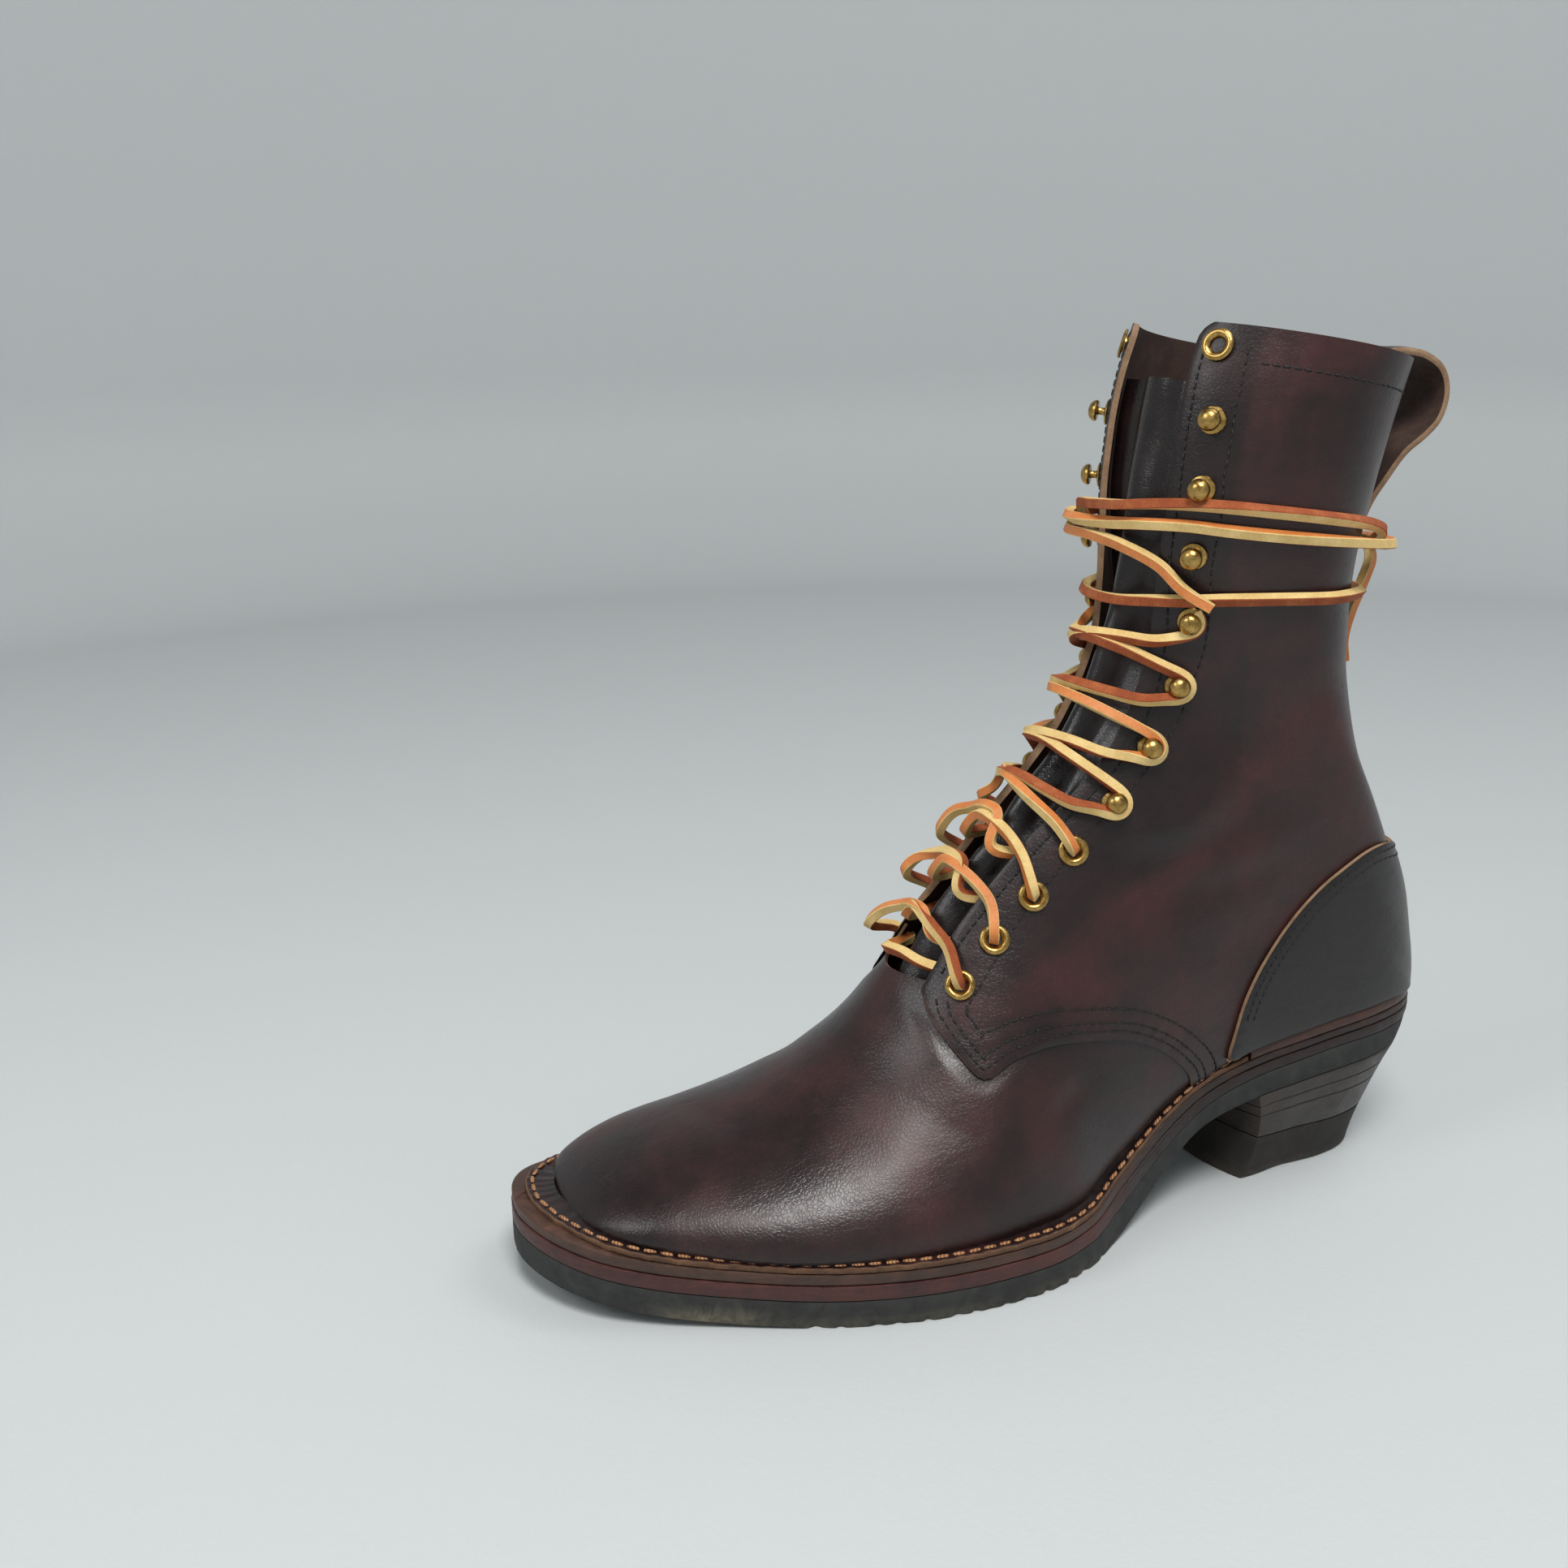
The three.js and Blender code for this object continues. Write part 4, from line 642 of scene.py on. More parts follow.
def ramp(tree, fac, stops):
    """A colour for each value, from (place, linear colour) stops."""
    made = node(tree, "ShaderNodeValToRGB", {"Fac": fac})
    elements = made.color_ramp.elements
    while len(elements) < len(stops):
        elements.new(0.5)
    for element, (at, colour) in zip(elements, stops):
        element.position = at
        element.color = (*colour, 1)
    return made.outputs["Color"]


def blend_colour(tree, fac, a, b):
    """A mix of two colours; the numbers are the node's sockets for colours."""
    return node(tree, "ShaderNodeMix", {0: fac, 6: a, 7: b}, data_type="RGBA").outputs[2]


def arithmetic(tree, how, a, b=0.0, limit=False):
    return node(tree, "ShaderNodeMath", {0: a, 1: b}, operation=how, use_clamp=limit).outputs[0]


def weighed(tree, *parts):
    """The sum of sockets, each times its weight."""
    total = None
    for socket, weight in reversed(parts):
        part = arithmetic(tree, "MULTIPLY", socket, weight)
        total = part if total is None else arithmetic(tree, "ADD", part, total)
    return total


def spread(tree, fac, low, high, to_low, to_high):
    """A value moved from one range to another."""
    return node(tree, "ShaderNodeMapRange", {
        "Value": fac, "From Min": low, "From Max": high,
        "To Min": to_low, "To Max": to_high}).outputs["Result"]


def bumps(tree, layers):
    """Bump nodes one after another, each of a height socket and its depth in millimetres."""
    normal = None
    for height, depth in layers:
        inputs = {"Height": height, "Strength": 1.0, "Distance": depth / 1000}
        if normal:
            inputs["Normal"] = normal
        normal = node(tree, "ShaderNodeBump", inputs).outputs["Normal"]
    return normal


def value_of(tree, name):
    """A value that the mesh carries on its points."""
    return node(tree, "ShaderNodeAttribute", attribute_name=name).outputs["Fac"]


def oiled_leather(name, stops, gloss, grain=1.0, tone=30.0, crease=1.0):
    """Full-grain oiled leather, waxed and brushed: the oil pools in a darker tone, the high places
    are redder, the pores and grain cells are fine and shallow, and the gloss is soft and uneven."""
    material, tree, surface, at = blank(
        name, Coat_Weight=0.2, Coat_Roughness=0.3, Specular_IOR_Level=0.38)
    clouds = noise(tree, at, tone, 4.0, 0.5, 0.4)
    mottle = noise(tree, at, 4.0, 4.0, 0.65)
    # the mesh's shade value moves the tone along the ramp; on the vamp and flange it carries
    # painted shade
    fac = arithmetic(tree, "ADD", weighed(tree, (clouds, 0.75), (mottle, 0.25)),
                     value_of(tree, "shade"))
    cells = node(tree, "ShaderNodeTexVoronoi", {
        "Vector": at, "Scale": 1000 / (1.3 * grain), "Randomness": 1.0},
        feature="DISTANCE_TO_EDGE").outputs["Distance"]
    grooves = spread(tree, cells, 0.0, 0.22, 0.0, 1.0)
    colour = blend_colour(tree, spread(tree, grooves, 0.0, 1.0, 0.3, 0.0),
                          ramp(tree, fac, stops), (*linear("0c0707"), 1))
    wrinkles = noise(tree, mapped(tree, at, Scale=(1.0, 0.7, 1.3)), 9.0, 2.0, 0.45, 0.3)
    streaked = mapped(tree, at, Rotation=(0.5, 0.9, 0.3), Scale=(1500.0, 60.0, 1500.0))
    scratches = noise(tree, streaked, 1000 / 0.35, 2.0, 0.5)
    rough = arithmetic(tree, "ADD", spread(tree, clouds, 0.3, 0.7, gloss - 0.06, gloss + 0.1),
                       spread(tree, scratches, 0.62, 0.75, 0.0, 0.12))
    pebble = noise(tree, at, 1.1 * grain, 2.0, 0.5)
    plug(tree, surface, Base_Color=colour, Roughness=rough, Normal=bumps(tree, (
        (wrinkles, 0.3 * crease), (pebble, 0.05), (grooves, 0.035 * grain))))
    return material


def raw_leather(name, stops, nap=1.0, rough=0.85):
    """Cut or flesh side of leather: dull loose fibres, in light and dark streaks."""
    material, tree, surface, at = blank(name, Roughness=rough)
    fibres = noise(tree, at, 0.8 * nap, 5.0, 0.75, 1.5)
    patches = noise(tree, at, 7.0, 3.0)
    fac = weighed(tree, (fibres, 0.6), (patches, 0.4))
    plug(tree, surface, Base_Color=ramp(tree, fac, stops),
         Normal=bumps(tree, ((patches, 0.2), (fibres, 0.2))))
    return material


def edge_leather(name, stops, gloss=0.45, lines=1.1):
    """Waxed edge of sole leather: pressed layers show as fine level lines, rubbed lighter here
    and there."""
    material, tree, surface, at = blank(name)
    layers = noise(tree, mapped(tree, at, Scale=(0.06, 0.06, 1.0)), lines, 3.0, 0.6, 0.4)
    patches = noise(tree, at, 12.0, 4.0, 0.65, 0.8)
    grit = noise(tree, at, 0.9, 3.0, 0.7)
    fac = arithmetic(tree, "ADD", weighed(tree, (patches, 0.55), (layers, 0.3), (grit, 0.15)),
                     value_of(tree, "shade"))
    plug(tree, surface, Base_Color=ramp(tree, fac, stops),
         Roughness=spread(tree, patches, 0.3, 0.7, gloss - 0.1, gloss + 0.2),
         Normal=bumps(tree, ((layers, 0.18), (grit, 0.12), (patches, 0.25))))
    return material


def rubber_sole(name, stops):
    """Moulded rubber: matt grey-black with a ground edge, and dust and scuffs near the floor."""
    material, tree, surface, at = blank(name, Roughness=0.8)
    grit = noise(tree, at, 0.8, 4.0, 0.7)
    dust = noise(tree, at, 9.0, 5.0, 0.7, 0.8)
    scuff = arithmetic(tree, "MULTIPLY", value_of(tree, "shade"),
                       spread(tree, dust, 0.38, 0.6, 0.2, 1.0), limit=True)
    colour = blend_colour(tree, scuff, ramp(tree, dust, stops), (*linear("7d7460"), 1))
    plug(tree, surface, Base_Color=colour, Normal=bumps(tree, ((dust, 0.3), (grit, 0.15))))
    return material


def polished_brass(name, stops):
    """Stamped brass, lacquered and lightly worn: warm metal in patches of lighter and darker tone.
    """
    material, tree, surface, at = blank(name, Metallic=1.0)
    wear = noise(tree, at, 2.2, 4.0, 0.65)
    plug(tree, surface, Base_Color=ramp(tree, wear, stops),
         Roughness=spread(tree, wear, 0.3, 0.7, 0.18, 0.38),
         Normal=bumps(tree, ((noise(tree, at, 0.7, 3.0), 0.03),)))
    return material


def thread(name, stops):
    """Waxed sewing thread: twisted plies show as a fine slanting ripple."""
    material, tree, surface, at = blank(name, Roughness=0.6)
    plies = node(tree, "ShaderNodeTexWave", {
        "Vector": at, "Scale": 420.0, "Distortion": 1.5, "Detail": 1.0},
        bands_direction="DIAGONAL").outputs["Fac"]
    fac = weighed(tree, (plies, 0.4), (noise(tree, at, 3.0), 0.6))
    plug(tree, surface, Base_Color=ramp(tree, fac, stops),
         Normal=bumps(tree, ((plies, 0.12),)))
    return material


# Maker, material's name, panel colour that tints it, stops of its tone, and options
FINISHES = {
    "oxblood": (oiled_leather, "oiled_oxblood_leather", "leather",
                ".2 0e0707 | .4 211010 | .58 351818 | .85 4c201d", {"gloss": 0.33}),
    "counter": (oiled_leather, "oiled_black_brown_leather", "leather",
                ".3 0f0c0b | .55 1c1614 | .85 31231f", {"gloss": 0.34, "grain": 0.9}),
    "tongue": (oiled_leather, "thin_oiled_leather", "leather",
               ".3 0c0808 | .55 180e0e | .85 2b1717",
               {"gloss": 0.24, "grain": 0.8, "tone": 22.0, "crease": 0.9}),
    "strap": (oiled_leather, "strap_leather", "leather",
              ".3 1c1111 | .55 321b1a | .85 4f2a25", {"gloss": 0.42, "grain": 0.9}),
    "raw": (raw_leather, "cut_leather_edge", "", ".3 5a4030 | .5 86694f | .7 a68a6c",
            {"nap": 0.8}),
    "flesh": (raw_leather, "leather_flesh_side", "", ".3 20130f | .5 38241c | .7 523a2c", {}),
    "insole": (raw_leather, "insole_leather", "", ".3 5f452e | .5 7d5f43 | .7 94765a",
               {"nap": 0.6}),
    "slip": (edge_leather, "waxed_red_brown_edge", "sole_edge",
             ".25 1e0f0d | .45 3b1c18 | .62 4f2821 | .8 643a2d", {}),
    "flange_edge": (raw_leather, "waxed_flange_edge", "", ".3 33221a | .5 583c28 | .7 7c5a3d",
                    {"nap": 0.8}),
    "welt": (edge_leather, "waxed_brown_edge", "",
             ".25 1f130e | .45 3a251b | .62 503427 | .8 6a4a38", {}),
    "rand": (edge_leather, "burnished_brown_rand", "", ".25 20110d | .5 3d2219 | .8 5c3828",
             {"gloss": 0.36}),
    "heel": (edge_leather, "stacked_heel_leather", "",
             ".2 1d1714 | .45 2a221e | .65 352a25 | .9 4a3429", {"gloss": 0.4, "lines": 2.6}),
    "rubber": (rubber_sole, "matt_black_rubber", "", ".3 1a1b1a | .55 292a28 | .8 363733", {}),
    "lift": (rubber_sole, "heel_lift_rubber", "", ".3 191614 | .55 25201d | .8 332c28", {}),
    "brass": (polished_brass, "polished_brass", "", ".3 8a6a34 | .6 b9985a", {}),
    "dark_thread": (thread, "dark_waxed_thread", "", ".3 060404 | .6 120b0b", {}),
    "tan_thread": (thread, "tan_waxed_thread", "", ".3 6a4326 | .55 9a6b45 | .8 b98a5f", {}),
    "lace_face": (raw_leather, "lace_grain_face", "lace", ".3 b5642c | .55 cf7f42 | .8 dd9a5a",
                  {"nap": 2.0, "rough": 0.5}),
    "lace_edge": (raw_leather, "lace_cut_edge", "", ".3 b98f50 | .5 d9ba78 | .7 ead29a",
                  {"nap": 0.8, "rough": 0.7}),
    "lace_flesh": (raw_leather, "lace_flesh_side", "", ".3 6e2f15 | .5 96481f | .72 c0794a",
                   {"nap": 0.8, "rough": 0.85}),
}
MADE = {}


def tint(name):
    """How far the panel's colour of this name has moved from its default, by channel."""
    looks = bpy.context.scene.boot_looks
    standard = looks.bl_rna.properties[name].default_array
    return tuple(now / was for now, was in zip(getattr(looks, name), standard))


def finish(name):
    """Each finish is made once, the first time that a piece asks for it."""
    maker, title, panel_colour, stops, options = FINISHES[name]
    shift = tint(panel_colour) if panel_colour else (1.0, 1.0, 1.0)
    if (name, shift) not in MADE:
        pairs = (pair.split() for pair in stops.split("|"))
        colours = [(float(at), [c * s for c, s in zip(linear(code), shift)]) for at, code in pairs]
        MADE[name, shift] = maker(title, colours, **options)
    return MADE[name, shift]


# The pieces


def skin(rings, closed=False):
    """Points and outward faces over rings of points: a loop of rings, or a row with capped ends."""
    rows, cols = rings.shape[:2]
    points, faces = rings.reshape(-1, 3), [split(grid_faces(rows, cols, closed, True))]
    if not closed:
        for row, order in ((0, (0, 2, 1)), (rows - 1, (0, 1, 2))):
            j = np.arange(cols)
            hub = np.full(cols, len(points))
            fan = np.stack([hub, row * cols + j, row * cols + (j + 1) % cols], 1)
            points = np.concatenate([points, rings[row].mean(0)[None]])
            faces.append(fan[:, order])
    return points, outward(points, np.concatenate(faces))


def outward(points, faces):
    """The faces of a closed mesh, turned over if they look inwards."""
    a, b, c = (points[faces[:, k]] for k in range(3))
    return faces if np.einsum("ij,ij->", a, np.cross(b, c)) > 0 else faces[:, ::-1]


def column_kinds(rows, kinds, closed=False):
    """A kind for each face that skin makes, from one for each column of its rings."""
    body = np.tile(kinds, rows if closed else rows - 1)
    return np.concatenate([body, body] + ([] if closed else [kinds, kinds]))


def form_sheet(cols, low, high, offset):
    """Part of the form as triangles; a point carries place, normal and section number."""
    rows = np.flatnonzero((NUMBER >= low) & (NUMBER <= high))
    pick = np.ix_(rows, cols)
    p = FORM[pick] + NORMAL[pick] * (offset[rows][:, :, None] if np.ndim(offset) else offset)
    number = np.broadcast_to(NUMBER[rows, None, None], (*p.shape[:2], 1))
    carried = np.concatenate([p, NORMAL[pick], number], 2)
    return carried.reshape(-1, 7), split(grid_faces(len(rows), len(cols))[:, ::-1])


def back_patch(offset):
    """The low part of the back, where the form's two sides stand apart, as form_sheet gives it."""
    rows = np.flatnonzero((NUMBER >= FIRST_CLOSED - 1) & (NUMBER <= FIRST_CLOSED))
    s = np.linspace(0, 1, 9)[None, :, None]
    n = unit(NORMAL[rows, -1][:, None] * (1 - s) + NORMAL[rows, 0][:, None] * s)
    p = FORM[rows, -1][:, None] * (1 - s) + FORM[rows, 0][:, None] * s
    p[..., 1:2] += 3.0 * s * (1 - s) * (FIRST_CLOSED - NUMBER[rows])[:, None, None]
    number = np.broadcast_to(NUMBER[rows, None, None], (*p.shape[:2], 1))
    carried = np.concatenate([p + n * offset, n, number], 2)
    return carried.reshape(-1, 7), split(grid_faces(len(rows), 9)[:, ::-1])


ALL_COLUMNS = np.arange(STEPS_ROUND + 1)
HALVES = {1: ALL_COLUMNS[:STEPS_ROUND // 2 + 1], -1: ALL_COLUMNS[STEPS_ROUND // 2:]}


def facing_level(p):
    """Above 0 outside the throat: how far a point of the front stands off the facing's edge."""
    return np.where(p[:, 1] < -44, np.abs(p[:, 0]) - throat_half(p[:, 2]), 40.0)


def wall_of(number):
    return look(WALLS, "wall", number) * SHAFT_WALL


def build_upper(looks):
    """Vamp, two quarters over it and the turned-out flange, each with a wall of its own."""
    vamp = build_vamp()
    made = [vamp, build_quarter(1, "outer_quarter"), build_quarter(-1, "inner_quarter"),
            build_flange()]
    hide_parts("upper")
    return made


def build_vamp():
    """The foot's front, sunk below the quarters and running on a little way under them."""
    points, faces = form_sheet(ALL_COLUMNS, 0, 19, -SUNK_AT)
    side = signed_distance(QUARTER_OUTLINE, points[:, 1], points[:, 2])
    sunk = look(WALLS, "sunk", points[:, 6]) * QUARTER_STEP
    dip = np.clip(1.25 * smooth(side, -6, -0.4) - sunk, 0, None)
    points[:, :3] -= points[:, 3:6] * dip[:, None]
    low = np.maximum(facing_level(points), THROAT_FOOT - points[:, 2])
    points, faces = clip(np.c_[points, side], faces, np.minimum(VAMP_UNDERLAP - side, low))
    p, f, kinds = thicken(points[:, :3], faces, points[:, 3:6], VAMP_WALL)
    y, side = points[:, 1], points[:, 7]
    foot = points[:, 2] - seat_top(y)
    # painted shade at the join: darker within a few mm of the seat, where the vamp turns into the
    # flange; also darker over the toe's tip and lighter across the ball
    # painted shadow of the quarters: the vamp darkens over the last 6 mm before their edge and
    # under it
    dark = (-0.16 * np.exp(-foot / 5.0) - 0.1 * smooth(side, -6, 0) - 0.1 * smooth(y, -255, -285)
            + 0.05 * np.exp(-((y + 190) / 40) ** 2) - 0.05)
    return mesh_piece("vamp", p, f, UPPER_FINISHES, kinds, dark)


def build_quarter(side_of, name):
    """One quarter with its facing, thin where it lies on the vamp, its edges rolled."""
    points, faces = form_sheet(HALVES[side_of], 8, LAST_SECTION, 0.0)
    side = signed_distance(QUARTER_OUTLINE, points[:, 1], points[:, 2])
    edge = facing_level(points)
    u = np.clip(edge, 0, CORNER)
    w = np.clip(BOOT_HEIGHT - 0.5 - points[:, 2], 0, CORNER)
    at_corner = (edge < CORNER) & (points[:, 2] > BOOT_HEIGHT - 23)
    rounded = np.where(at_corner, CORNER - np.hypot(CORNER - u, CORNER - w), 9.0)
    level = np.minimum(np.minimum(side, edge), rounded)
    points, faces = clip(np.c_[points, side, edge, level], faces, level)
    y, z, number = points[:, 1], points[:, 2], points[:, 6]
    side, edge, near = points[:, 7], points[:, 8], np.clip(points[:, 9], 0, 99)
    thin = 1.32 * look(WALLS, "sunk", number) + 0.06
    wall = thin + (wall_of(number) - thin) * smooth(side, 10, 16)
    rows = sum(np.exp(-((side - r) / 0.8) ** 2) for r in QUARTER_ROWS)
    rows = rows + np.exp(-((edge - FACING_ROW) / 0.8) ** 2)
    rolled = 0.35 * np.exp(-near / 0.5) + 0.16 * rows
    outer = points[:, :3] - points[:, 3:6] * rolled[:, None]
    p, f, kinds = thicken(outer, faces, points[:, 3:6], wall - rolled)
    band = (1 - smooth(edge, 15.5, 17.5)) * (z > 92)
    dark = (-0.13 * band - 0.12 * rows - 0.14 * np.exp(-near / 1.6) - 0.1 * smooth(y, -5, 30)
            + 0.05 * np.exp(-((z - 120) / 45) ** 2))
    return mesh_piece(name, p, f, UPPER_FINISHES, kinds, dark)


def build_flange():
    """The upper's lower edge, turned out over the sole and drawn into small wrinkles."""
    keep = SOLE_EDGE[:, 1] < -RAND_FRONT
    inner, outer = inset("inset", 1.6)[keep], inset("rim")[keep]
    run = np.arange(len(inner))
    wrinkle = 0.22 * np.sin(run * 1.13 + 2 * np.sin(run * 0.21)) + 0.15 * np.sin(run * 0.57 + 1.1)
    shape = (  # share of the way out, height over the sole, tone (darker towards the vamp: painted shade in the corner), kind of the next face
        (0, 2.9, -0.2, 0), (0.05, 2.8, -0.22, 0), (0.14, 2.6, -0.2, 0), (0.26, 2.4, -0.12, 0),
        (0.4, 2.15, -0.1, 0), (0.6, 2.0, -0.1, 0), (0.78, 1.95, -0.08, 0), (0.93, 1.9, -0.05, 3),
        (0.99, 1.65, 0, 3), (1.0, 1.1, 0, 3), (0.995, 0.4, 0, 3), (0.96, 0.06, 0, 1),
        (0.5, 0.06, 0, 1), (0, 0.06, 0, 1))
    rings = []
    for s, h, *_ in shape:
        q = inner + (outer - inner) * s
        fold = wrinkle * (h > 0.3) * (0.35 + s)
        rings.append(np.c_[q, seat_top(q[:, 1]) + h + fold * 0.6])
    points, faces = skin(np.stack(rings, 1))
    kinds = column_kinds(len(run), np.array([row[3] for row in shape]))
    dark = np.append(np.tile([row[2] for row in shape], len(run)), [0, 0])
    return mesh_piece("flange", points, faces, UPPER_FINISHES + " flange_edge", kinds, dark)


def slab(edge, top, under, bevel=0.5, wobble=0.0, nicks=None):
    """A layer of the sole: a rounded edge carried round the outline, and faces to the middle."""
    middle = sum(crossing(edge, edge[:, 1])) / 2
    upper, lower = top(edge[:, 1]), under(edge[:, 1])
    tall = upper - lower
    run = np.arange(len(edge))

    def put(step, height):
        """A ring moved in by a step; one with no end lies along the middle."""
        q = edge - EDGE_OUT * np.reshape(np.minimum(step, np.abs(edge[:, 0] - middle)), (-1, 1))
        x, y = np.where(np.isinf(step), [middle, edge[:, 1]], q.T)
        return tucked(np.stack([x, y, height], -1))

    profile = [(np.inf, 0), (8, 0), (2.5, 0), (bevel, 0), (bevel * 0.3, bevel * 0.3), (0, bevel)]
    rings = [put(step, upper - np.minimum(drop, tall * 0.4)) for step, drop in profile]
    for part in (0.25, 0.5, 0.75):
        ripple = wobble * (np.sin(run * 0.9 + 5 * part) * np.sin(run * 0.13 + 2 * part))
        cut = nicks(edge[:, 1], part) if nicks else 0
        rings.append(put(ripple + cut, upper - bevel - (tall - 2 * bevel) * part))
    for step, rise in profile[::-1]:
        cut = nicks(edge[:, 1], 1.0) if nicks and step < 3 else 0
        rings.append(put(step + cut, lower + np.minimum(rise, tall * 0.4)))
    grid = np.stack(rings, 1)
    points = grid.reshape(-1, 3)
    return points, outward(points, split(grid_faces(len(edge), grid.shape[1], True)))


def lug_nicks(y, part):
    """Ragged cuts in the rubber's lower edge, about 2 mm deep at most, at the lugs' pitch."""
    depth = np.zeros(np.shape(y))
    for k in range(LUG_COUNT * 2 + 1):
        at = LUG_FIRST + 3 - k * LUG_PITCH / 2 + 1.4 * math.sin(k * 5.1)
        big = (k % 2 == 0) * (0.5 + 0.5 * abs(math.sin(k * 1.9))) + 0.3 * abs(math.sin(k * 2.7))
        depth += big * np.exp(-((y - at) / (0.8 + 0.9 * abs(math.sin(k)))) ** 2)
    return depth * smooth(part, 0.35, 0.95)


def build_sole(looks):
    """Insole, midsole, slip sole and outsole, each with the sole's outline."""
    ring = inset(None)
    made = []
    for name, edge, top, under, look_name, options in (
            ("midsole", ring - EDGE_OUT * 0.3, mid_top, mid_under, "welt",
             {"bevel": 0.6, "wobble": 0.1}),
            ("slip_sole", ring, slip_top, slip_under, "slip", {"bevel": 0.35, "wobble": 0.12}),
            ("outsole", ring, rubber_top, rubber_under, "rubber",
             {"bevel": 0.5, "wobble": 0.15, "nicks": lug_nicks}),
            ("insole", inset("sock"), lambda y: seat_top(y) + INSOLE, seat_top, "insole",
             {"bevel": 0.6})):
        points, faces = slab(edge, top, under, **options)
        y, z = points[:, 1], points[:, 2]
        tone = 0.0
        if name == "outsole":
            dust = 0.22 * np.exp(-((z - 1.0) / 2.0) ** 2) * smooth(y, 0, -60)
            tone = dust + 0.75 * np.exp(-((y + 236) / 15) ** 2 - ((z - 3.5) / 3.2) ** 2)
        elif name == "slip_sole":
            tone = -0.34 * smooth(y, -115, -60)
        elif name == "midsole":
            tone = -0.2 * smooth(y, -120, -60)
        piece = mesh_piece(name, points, faces, look_name, None, tone)
        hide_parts(name)
        made.append(piece)
    return made


def heel_ring(z_of):
    """One level of the heel's plan: both sides, the back and the hollow breast."""
    t = np.sin(np.linspace(0, 1, 72) * math.pi / 2)
    y = -HEEL_FRONT + (HEEL_BACK - FIT + HEEL_FRONT) * t
    outer, inner = crossing(SOLE_EDGE, y)
    front_outer, front_inner = crossing(SOLE_EDGE, -HEEL_FRONT)
    s = np.linspace(-1, 1, 42)[1:-1]
    breast = np.stack([np.abs(s) * np.where(s > 0, front_outer, front_inner),
                       -HEEL_FRONT - BREAST_CURVE * (1 - s * s)], 1)
    x, y = np.concatenate([np.stack([outer, y], 1), np.stack([inner, y], 1)[::-1], breast]).T
    top = rubber_under(y) - FIT
    z = np.minimum(z_of(y, top), top)
    level = z / top
    keep = look(HEEL_SIDES, "keep", (y + HEEL_FRONT) / (HEEL_BACK + HEEL_FRONT))
    p = tucked(np.stack([x * (1 - (1 - keep) * (1 - level)), y, z], -1))
    p[:, 1] += BREAST_HOLLOW * 4 * level * (1 - level) * np.clip(
        1 - (y + HEEL_FRONT) / BREAST_FADE, 0, 1)
    return p


def shrink(ring, step):
    """A ring of the heel drawn in by a step, in the plane."""
    run = np.roll(ring[:, :2], -1, 0) - np.roll(ring[:, :2], 1, 0)
    out = unit(np.stack([run[:, 1], -run[:, 0]], 1))
    out *= np.sign(np.einsum("ij,ij->i", out, ring[:, :2] - ring[:, :2].mean(0)).sum())
    moved = ring.copy()
    moved[:, :2] -= out * step
    return moved


def build_heel(looks):
    """The stacked heel, its rubber top lift and the rand that closes the seat."""
    low, high = TOP_LIFT + FIT / 2, TOP_LIFT - FIT / 2
    levels = np.unique(np.concatenate(
        [[0.0, 0.02, 0.98, 1.0], np.linspace(0, 1, 16)[1:-1]]
        + [[g - 0.02, g - 0.007, g + 0.007, g + 0.02] for g in HEEL_GROOVES]))
    rings = []
    for v in levels:
        ring = heel_ring(lambda y, top: low + (top - low) * v)
        in_groove = min(abs(v - g) for g in HEEL_GROOVES) < 0.01
        rings.append(shrink(ring, 0.28 * in_groove + 0.35 * (v in (0.0, 1.0))))
    points, faces = skin(np.stack(rings))
    tone = (0.12 * np.exp(-((points[:, 1] + 24) / 6) ** 2)
            - 0.1 * smooth(points[:, 2], 34, 20))
    base = mesh_piece("stacked_heel", points, faces, "heel", None, tone)
    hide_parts("heel_base")
    rings = [shrink(heel_ring(lambda y, top: np.full(len(y), h)), cut) for h, cut in (
        (0.0, 1.0), (0.3, 0.4), (1.0, 0.0), (4.0, 0.0), (8.0, 0.0), (12.0, 0.0), (15.0, 0.0),
        (high - 0.4, 0.0), (high, 0.4))]
    points, faces = skin(np.stack(rings))
    tone = 0.25 * np.exp(-(points[:, 2] / 2.0) ** 2)
    lift = mesh_piece("top_lift_rubber", points, faces, "lift", None, tone)
    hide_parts("top_lift")
    keep = np.flatnonzero(SOLE_EDGE[:, 1] > -RAND_FRONT)
    keep = np.concatenate([keep[keep > RING // 2], keep[keep <= RING // 2]])
    edge, foot = inset(None)[keep] - EDGE_OUT[keep] * 0.5, inset("inset", -0.6)[keep]
    rings = []
    for s, h in ((0, 0.05), (0.6, 0.05), (0.92, 0.1), (1, 0.6), (0.99, 1.6), (0.93, 2.9),
                 (0.8, 3.9), (0.62, RAND_HEIGHT), (0.3, RAND_HEIGHT), (0, RAND_HEIGHT)):
        q = foot + (edge - foot) * s
        rings.append(tucked(np.c_[q, seat_top(q[:, 1]) + h]))
    points, faces = skin(np.stack(rings, 1))
    rand = mesh_piece("rand", points, faces, "rand", None, 0.0)
    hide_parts("heel_rand")
    return [base, lift, rand]


